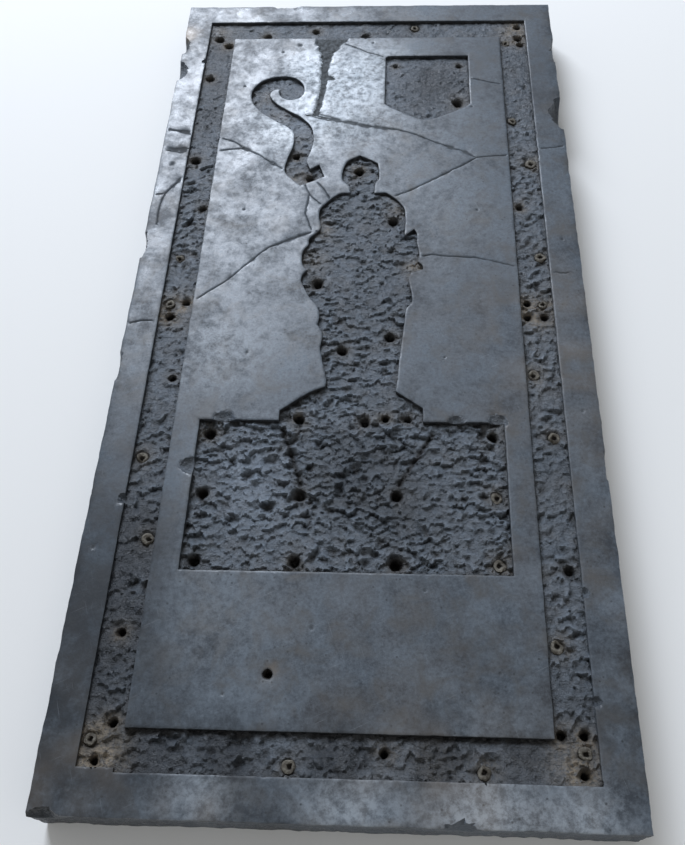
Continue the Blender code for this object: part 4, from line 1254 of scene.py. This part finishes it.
def polished_limestone():
    """Dense dark limestone, rubbed smooth and worn: cloudy blue-grey with a soft, patchy sheen."""
    material, tree, shader = new_material("worn polished limestone")
    place = add_node(tree, "ShaderNodeTexCoord").outputs["Object"]
    bloom, stain, grime_and_shade, shade = (
        add_node(tree, "ShaderNodeAttribute", attribute_name=name).outputs["Fac"]
        for name in ("bloom", "stain", "grime_and_shade", "shade")
    )
    # Size, detail, roughness and distortion of clouds 110 mm across, mottle 20 mm, flecks 7 mm and grain
    # 3.5 mm, of brown drifts of rubbed-in dirt 70 mm across, and of gaps 42 mm across in the bloom
    clouds, mottle, fleck, grain, drifts, gaps = (
        add_node(tree, "ShaderNodeTexNoise", {
            "Vector": place, "Scale": 1 / size, "Detail": detail, "Roughness": rough, "Distortion": bend,
        }).outputs["Fac"]
        for size, detail, rough, bend in (
            (0.110, 6.0, 0.66, 0.0), (0.020, 7.0, 0.74, 0.0), (0.007, 4.0, 0.75, 0.0),
            (0.0035, 4.0, 0.70, 0.0), (0.070, 5.0, 0.60, 0.6), (0.042, 9.0, 0.78, 0.4),
        )
    )
    # Fossil specks up to 6 mm across
    speck = add_node(tree, "ShaderNodeTexVoronoi", {
        "Vector": place, "Scale": 1 / 0.024, "Randomness": 1.0,
    }).outputs["Distance"]
    both = add_node(tree, "ShaderNodeMath", {
        0: mottle, 1: 0.65, 2: clouds,
    }, operation="MULTIPLY_ADD").outputs[0]
    flecked = add_node(tree, "ShaderNodeMath", {
        0: fleck, 1: 0.55, 2: both,
    }, operation="MULTIPLY_ADD").outputs[0]
    # Scratches 1.5 mm wide and 60 mm long, drawn coarser than real ones, which wouldn't show
    lines = []
    for turn in (0.45, 1.9):
        along = add_node(tree, "ShaderNodeMapping", {
            "Vector": place, "Rotation": (0.0, 0.0, turn), "Scale": (0.060, 0.0015, 1.0),
        }, vector_type="TEXTURE").outputs["Vector"]
        lines.append(add_node(tree, "ShaderNodeTexNoise", {
            "Vector": along, "Scale": 1.0, "Detail": 1.0, "Roughness": 0.4,
        }).outputs["Fac"])
    # Each share: its source, the range taken from it and the range that this becomes
    share = {}
    for name, source, low, high, first, last in (
        ("tone", flecked, 0.90, 1.32, 0.0, 1.0), ("rubbed", drifts, 0.48, 0.70, 0.0, 0.65),
        ("patch", mottle, 0.40, 0.58, 0.25, 1.00), ("blotch", both, 0.70, 0.98, 1.0, 0.48),
        ("dot", speck, 0.05, 0.12, 0.75, 0.0), ("scratch", lines[0], 0.72, 0.80, 0.0, 0.30),
        ("crossing", lines[1], 0.72, 0.80, 0.0, 0.30), ("sheen", both, 0.68, 0.98, 0.56, 0.24),
        ("gap", gaps, 0.38, 0.52, 0.30, 0.0),
    ):
        share[name] = add_node(tree, "ShaderNodeMapRange", {
            "Value": source, "From Min": low, "From Max": high, "To Min": first, "To Max": last,
        }).outputs[0]
    # Pale bloom, partly painted sheen where it is strongest beside the crozier and the head
    pale = add_node(tree, "ShaderNodeMath", {0: bloom, 1: share["patch"]}, operation="MULTIPLY").outputs[0]
    # Dark patches, partly damp and dirt and partly painted shade
    damp_and_shade = add_node(tree, "ShaderNodeMath", {0: shade, 1: share["blotch"]}, operation="MULTIPLY").outputs[0]
    scratch = add_node(tree, "ShaderNodeMath", {
        0: share["scratch"], 1: share["crossing"],
    }, operation="MAXIMUM").outputs[0]
    colour = linear("#2B333C")
    for amount, code in (
        (share["tone"], "#69737D"), (share["rubbed"], "#4E4C49"), (pale, "#C6D0D9"), (damp_and_shade, "#1B2229"),
        (share["dot"], "#262B30"), (scratch, "#8B939B"), (stain, "#86796A"), (grime_and_shade, "#44474A"),
    ):
        colour = add_node(tree, "ShaderNodeMix", {
            0: amount, 6: colour, 7: linear(code),
        }, data_type="RGBA").outputs[2]
    tree.links.new(colour, shader.inputs["Base Color"])
    # Where the bloom is worn through, the stone is etched dull
    etched = add_node(tree, "ShaderNodeMath", {
        0: share["gap"], 1: bloom, 2: share["sheen"],
    }, operation="MULTIPLY_ADD").outputs[0]
    dull = add_node(tree, "ShaderNodeMath", {0: etched, 1: grime_and_shade}, operation="ADD", use_clamp=True).outputs[0]
    tree.links.new(dull, shader.inputs["Roughness"])
    uneven = add_node(tree, "ShaderNodeMath", {0: mottle, 1: grain}, operation="ADD").outputs[0]
    worn = add_node(tree, "ShaderNodeMath", {0: uneven, 1: scratch}, operation="SUBTRACT").outputs[0]
    bump = add_node(tree, "ShaderNodeBump", {"Height": worn, "Strength": 0.35, "Distance": 0.0006})
    tree.links.new(bump.outputs["Normal"], shader.inputs["Normal"])
    return material


def chiselled_limestone():
    """The same stone left from the chisel: matt, flaked into small facets, lighter on the ridges and darker
    in the hollows, partly bruising and dirt and partly painted shade.
    """
    material, tree, shader = new_material("chiselled limestone")
    place = add_node(tree, "ShaderNodeTexCoord").outputs["Object"]
    crest_wear_and_shade, bloom, stain, grime_and_shade, shade = (
        add_node(tree, "ShaderNodeAttribute", attribute_name=name).outputs["Fac"]
        for name in ("crest_wear_and_shade", "bloom", "stain", "grime_and_shade", "shade")
    )
    across = add_node(tree, "ShaderNodeMapping", {
        "Vector": place, "Rotation": (0.0, 0.0, 0.15), "Scale": (0.55, 1.0, 1.0),
    }).outputs["Vector"]
    # Size, detail, roughness and distortion of strokes 9 mm apart, pecking 6 mm, grit 1.8 mm and brown
    # drifts of dirt 55 mm across
    strokes, peck, grit, drifts = (
        add_node(tree, "ShaderNodeTexNoise", {
            "Vector": vector, "Scale": 1 / size, "Detail": detail, "Roughness": rough, "Distortion": bend,
        }).outputs["Fac"]
        for vector, size, detail, rough, bend in (
            (across, 0.009, 3.0, 0.60, 0.6), (place, 0.006, 5.0, 0.65, 0.0), (place, 0.0018, 3.0, 0.70, 0.0),
            (place, 0.055, 4.0, 0.60, 0.0),
        )
    )
    # The ridges lighter and the hollows darker: partly wear and dirt, partly painted shade
    lift = add_node(tree, "ShaderNodeMath", {
        0: peck, 1: 0.55, 2: crest_wear_and_shade,
    }, operation="MULTIPLY_ADD").outputs[0]
    # Each share: its source, the range taken from it and the range that this becomes
    share = {}
    for name, source, low, high, first, last in (
        ("tone", lift, 0.42, 1.16, 0.0, 1.0), ("brown", drifts, 0.45, 0.70, 0.0, 0.35),
        ("patch", peck, 0.36, 0.56, 0.2, 1.0), ("gloss", peck, 0.35, 0.65, 0.32, 0.66),
    ):
        share[name] = add_node(tree, "ShaderNodeMapRange", {
            "Value": source, "From Min": low, "From Max": high, "To Min": first, "To Max": last,
        }).outputs[0]
    # Pale bloom, partly painted highlight where the panel glints, and dark patches, partly damp and partly
    # painted shade
    pale, damp_and_shade, ochre = (
        add_node(tree, "ShaderNodeMath", {0: mask, 1: part}, operation="MULTIPLY").outputs[0]
        for mask, part in ((bloom, 0.45), (shade, 0.9), (stain, share["patch"]))
    )
    colour = linear("#2F353B")
    for amount, code in (
        (share["tone"], "#6B7580"), (share["brown"], "#4F4A44"), (pale, "#8893A0"), (damp_and_shade, "#22272D"),
        # The darkest grime is dirt, with painted shade deep in the holes and painted shadow below the
        # head-side walls
        (ochre, "#7D7262"), (grime_and_shade, "#100C0A"),
    ):
        colour = add_node(tree, "ShaderNodeMix", {
            0: amount, 6: colour, 7: linear(code),
        }, data_type="RGBA").outputs[2]
    tree.links.new(colour, shader.inputs["Base Color"])
    tree.links.new(share["gloss"], shader.inputs["Roughness"])
    # Facets 11 and 5 mm across: each cell of the pattern leans its own way, most towards the head
    height = add_node(tree, "ShaderNodeMath", {0: strokes, 1: peck}, operation="ADD").outputs[0]
    for size, lean in ((0.011, 1.6), (0.005, 0.40)):
        bent = add_node(tree, "ShaderNodeTexNoise", {
            "Vector": place, "Scale": 0.7 / size, "Detail": 2.0,
        }).outputs["Color"]
        warped = add_node(tree, "ShaderNodeVectorMath", {
            0: bent, 1: (size * 0.9,) * 3, 2: place,
        }, operation="MULTIPLY_ADD").outputs["Vector"]
        scaled = add_node(tree, "ShaderNodeVectorMath", {
            0: warped, "Scale": 1 / size,
        }, operation="SCALE").outputs["Vector"]
        facet = add_node(tree, "ShaderNodeTexVoronoi", {"Vector": scaled, "Scale": 1.0})
        away, slope = (
            add_node(tree, "ShaderNodeVectorMath", {
                0: first, 1: second,
            }, operation="SUBTRACT").outputs["Vector"]
            for first, second in (
                (scaled, facet.outputs["Position"]), (facet.outputs["Color"], (0.5, 0.8, 0.5)),
            )
        )
        leaning = add_node(tree, "ShaderNodeVectorMath", {
            0: away, 1: slope,
        }, operation="DOT_PRODUCT").outputs["Value"]
        height = add_node(tree, "ShaderNodeMath", {
            0: leaning, 1: lean, 2: height,
        }, operation="MULTIPLY_ADD").outputs[0]
    relief = add_node(tree, "ShaderNodeBump", {"Height": height, "Strength": 0.9, "Distance": 0.0045})
    bump = add_node(tree, "ShaderNodeBump", {
        "Height": grit, "Strength": 0.5, "Distance": 0.0007, "Normal": relief.outputs["Normal"],
    })
    tree.links.new(bump.outputs["Normal"], shader.inputs["Normal"])
    return material


def old_mortar():
    """Grey lime mortar trowelled into the void: matt and sandy."""
    material, tree, shader = new_material("old lime mortar")
    place = add_node(tree, "ShaderNodeTexCoord").outputs["Object"]
    # Sand 2 mm and lumps 9 mm across
    sand, lumps = (
        add_node(tree, "ShaderNodeTexNoise", {
            "Vector": place, "Scale": 1 / size, "Detail": detail,
        }).outputs["Fac"]
        for size, detail in ((0.002, 3.0), (0.009, 5.0))
    )
    tone = add_node(tree, "ShaderNodeMapRange", {
        "Value": lumps, "From Min": 0.35, "From Max": 0.65,
    }).outputs[0]
    colour = add_node(tree, "ShaderNodeMix", {
        0: tone, 6: linear("#33373A"), 7: linear("#60666B"),
    }, data_type="RGBA").outputs[2]
    tree.links.new(colour, shader.inputs["Base Color"])
    shader.inputs["Roughness"].default_value = 0.85
    height = add_node(tree, "ShaderNodeMath", {0: sand, 1: lumps}, operation="ADD").outputs[0]
    bump = add_node(tree, "ShaderNodeBump", {"Height": height, "Strength": 0.8, "Distance": 0.0030})
    tree.links.new(bump.outputs["Normal"], shader.inputs["Normal"])
    return material


def weathered_lead():
    """Lead run into the holes: dull grey, pitted and caked with dirt and an ochre bloom, and darker in its
    hollow and down its sides, partly as painted shade.
    """
    material, tree, shader = new_material("weathered lead")
    place = add_node(tree, "ShaderNodeTexCoord").outputs["Object"]
    # Bloom patches 8 mm and pits 2 mm across
    bloom, pits = (
        add_node(tree, "ShaderNodeTexNoise", {
            "Vector": place, "Scale": 1 / size, "Detail": detail,
        }).outputs["Fac"]
        for size, detail in ((0.008, 5.0), (0.002, 3.0))
    )
    grime_and_shade = add_node(tree, "ShaderNodeAttribute", attribute_name="grime_and_shade").outputs["Fac"]
    tone = add_node(tree, "ShaderNodeMapRange", {
        "Value": bloom, "From Min": 0.36, "From Max": 0.66,
    }).outputs[0]
    colour = linear("#4A443B")
    for amount, code in ((tone, "#7E7A70"), (grime_and_shade, "#1C1510")):
        colour = add_node(tree, "ShaderNodeMix", {
            0: amount, 6: colour, 7: linear(code),
        }, data_type="RGBA").outputs[2]
    tree.links.new(colour, shader.inputs["Base Color"])
    shader.inputs["Metallic"].default_value = 0.2
    shader.inputs["Roughness"].default_value = 0.65
    height = add_node(tree, "ShaderNodeMath", {0: pits, 1: bloom}, operation="ADD").outputs[0]
    bump = add_node(tree, "ShaderNodeBump", {"Height": height, "Strength": 0.8, "Distance": 0.0025})
    tree.links.new(bump.outputs["Normal"], shader.inputs["Normal"])
    return material


def build_slab(materials):
    points, faces, zones = slab_surface()
    mesh = bpy.data.meshes.new("ledger_stone")
    mesh.from_pydata(points.tolist(), [], [tuple(int(number) for number in face) for face in faces])
    for material in materials:
        mesh.materials.append(material)
    masks = {
        "bloom": bloom_and_sheen_mask(points), "stain": stain_mask(points, zones), "crest_wear_and_shade": crest_wear_and_shade_mask(points, zones),
        "grime_and_shade": grime_and_shade_mask(points, zones), "shade": shade_mask(points),
    }
    for name, values in masks.items():
        mesh.attributes.new(name, "FLOAT", "POINT").data.foreach_set("value", values.astype(np.float32))
    broken = ((zones == FIELD) & (chip_depth(points[:, :2]) > BARE_DEPTH)) | (zones != FIELD)
    mortar = (zones == FIELD) & (mortar_depth(points[:, :2]) > BARE_DEPTH)
    for polygon in mesh.polygons:
        numbers = list(polygon.vertices)
        if mortar[numbers].sum() > 1:
            polygon.material_index = 2
        elif broken[numbers].any():
            polygon.material_index = 1
    mesh.shade_smooth()
    mesh.set_sharp_from_angle(angle=math.radians(40))
    slab = bpy.data.objects.new("ledger_stone", mesh)
    bpy.context.scene.collection.objects.link(slab)
    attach(slab, "root")
    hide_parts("slab")
    print("ledger stone:", len(points), "points,", sum(len(face) - 2 for face in faces), "triangles")
    return slab


# Lead plugs: rings of a turned section, as share of the radius and height above the bed's floor
PLUG_SECTION = (
    (0.94, -0.0285), (0.95, -0.008), (0.95, -0.0020), (0.86, -0.0002), (0.66, 0.0004), (0.44, -0.0004),
    (0.30, -0.0045), (0.20, -0.0075),
)
PLUG_TURNS = 22


def build_plug(node, number, material):
    """Lead left in a hole, hollow off its middle where the rivet was pulled, and torn on one side."""
    low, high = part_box(node)
    centre = (Vector(low) + Vector(high)) / 2
    radius = (high[0] - low[0]) / 2
    top = high[2] - 0.0015
    draw = np.random.default_rng(100 + number)
    torn = draw.uniform(0, math.tau)
    tear = draw.choice((0.0020, 0.0045, 0.0070))
    slope = draw.uniform(-0.0016, 0.0016, 2)
    aside = draw.uniform(-0.24, 0.24, 2) * radius
    waves = draw.uniform(0, math.tau, 3)
    builder = bmesh.new()
    dirt = builder.verts.layers.float.new("grime_and_shade")
    rings = []
    for level, (share, height) in enumerate(PLUG_SECTION):
        ring = []
        for turn in range(PLUG_TURNS):
            angle = math.tau * turn / PLUG_TURNS
            wave = sum(math.sin(angle * (index + 2) + phase) for index, phase in enumerate(waves)) / 3
            rough = draw.uniform(-1, 1) * (0.02 if level < 2 else 0.06) + (0.0 if level < 3 else 0.28 * wave)
            gap = max(0.0, math.cos(angle - torn) - 0.3) / 0.7 if level > 1 else 0.0
            lean = (slope[0] * math.cos(angle) + slope[1] * math.sin(angle)) * share if level > 1 else 0.0
            uneven = draw.uniform(-1, 1) * 0.0005 if level > 1 else 0.0
            z = top + height - tear * gap * share + lean + uneven
            reach = radius * min(0.97, share * (1 + rough))
            shift = aside * (1 - share) if level > 2 else aside * 0
            vertex = builder.verts.new((
                centre.x + shift[0] + reach * math.cos(angle),
                centre.y + shift[1] + reach * math.sin(angle),
                min(z, high[2]),
            ))
            # Darker in the hollow middle, on the torn side and down the sides in the hole: dirt and painted
            # shade
            vertex[dirt] = min(1.0, max(0.0, 0.9 * (level > 5) + 0.3 * gap + 0.35 * (level < 3)))
            ring.append(vertex)
        rings.append(ring)
    for lower, upper in zip(rings, rings[1:]):
        for turn in range(PLUG_TURNS):
            following = (turn + 1) % PLUG_TURNS
            builder.faces.new((lower[turn], lower[following], upper[following], upper[turn]))
    builder.faces.new(rings[0][::-1])
    builder.faces.new(rings[-1])
    mesh = bpy.data.meshes.new(node.replace("plug", "remains"))
    builder.to_mesh(mesh)
    builder.free()
    mesh.materials.append(material)
    mesh.shade_smooth()
    mesh.set_sharp_from_angle(angle=math.radians(50))
    plug = bpy.data.objects.new(mesh.name, mesh)
    bpy.context.scene.collection.objects.link(plug)
    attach(plug, "root")
    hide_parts(node)


# Camera: place, turns in degrees, lens in mm and shift
CAMERA_PLACE = (0.0986, -1.3287, FACE + 1.6879)
CAMERA_TURNS = (31.134, 1.851, 1.881)
CAMERA_LENS = 37.832
CAMERA_SHIFT = (-0.016, -0.012)

# Lights: name, place, target, size, power in watts and colour
LIGHTS = (
    ("window", (-2.9, 8.0, 5.9), (-0.1, 0.3, 0.0), (4.6, 5.0), 1190, "#EAF2FF"),
    ("fill", (1.5, -2.5, 4.0), (0.0, 0.0, 0.0), (3.0, 3.0), 15, "#FFF8F0"),
)
SKY_STRENGTH = 0.34

# Half the studio floor's width, and how far it lies below the stone
FLOOR_REACH = 14.0
FLOOR_GAP = 0.0005


def add_camera():
    """A standing person's view from the foot of the stone."""
    camera = bpy.data.objects.new("camera", bpy.data.cameras.new("camera"))
    bpy.context.scene.collection.objects.link(camera)
    camera.location = CAMERA_PLACE
    camera.rotation_euler = Euler([math.radians(turn) for turn in CAMERA_TURNS])
    camera.data.lens = CAMERA_LENS
    camera.data.shift_x, camera.data.shift_y = CAMERA_SHIFT
    bpy.context.scene.camera = camera


def add_area_light(name, place, target, size, power, colour):
    light = bpy.data.lights.new(name, "AREA")
    light.shape = "RECTANGLE"
    light.size, light.size_y = size
    light.energy = power
    light.color = linear(colour)[:3]
    lamp = bpy.data.objects.new(name, light)
    lamp.location = place
    lamp.rotation_euler = (Vector(target) - Vector(place)).to_track_quat("-Z", "Y").to_euler()
    bpy.context.scene.collection.objects.link(lamp)


def add_studio():
    """A pale floor, a soft window beyond the head that lays a sheen on the stone, and a fill."""
    builder = bmesh.new()
    bmesh.ops.create_grid(builder, x_segments=1, y_segments=1, size=FLOOR_REACH)
    mesh = bpy.data.meshes.new("studio_floor")
    builder.to_mesh(mesh)
    builder.free()
    floor = bpy.data.objects.new("studio_floor", mesh)
    floor.location.z = -FLOOR_GAP
    bpy.context.scene.collection.objects.link(floor)
    material, _, shader = new_material("pale studio floor")
    shader.inputs["Base Color"].default_value = linear("#F4F4F2")
    shader.inputs["Roughness"].default_value = 0.9
    mesh.materials.append(material)
    for light in LIGHTS:
        add_area_light(*light)
    world = bpy.data.worlds.new("studio")
    world.use_nodes = True
    sky = world.node_tree.nodes["Background"]
    sky.inputs["Color"].default_value = linear("#F2F5F8")
    sky.inputs["Strength"].default_value = SKY_STRENGTH
    bpy.context.scene.world = world
    bpy.context.scene.view_settings.view_transform = "Standard"


def main():
    add_camera()
    add_studio()
    build_slab((polished_limestone(), chiselled_limestone(), old_mortar()))
    lead = weathered_lead()
    for number, node in enumerate(sorted(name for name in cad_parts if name.startswith("lead_plug"))):
        build_plug(node, number, lead)


main()
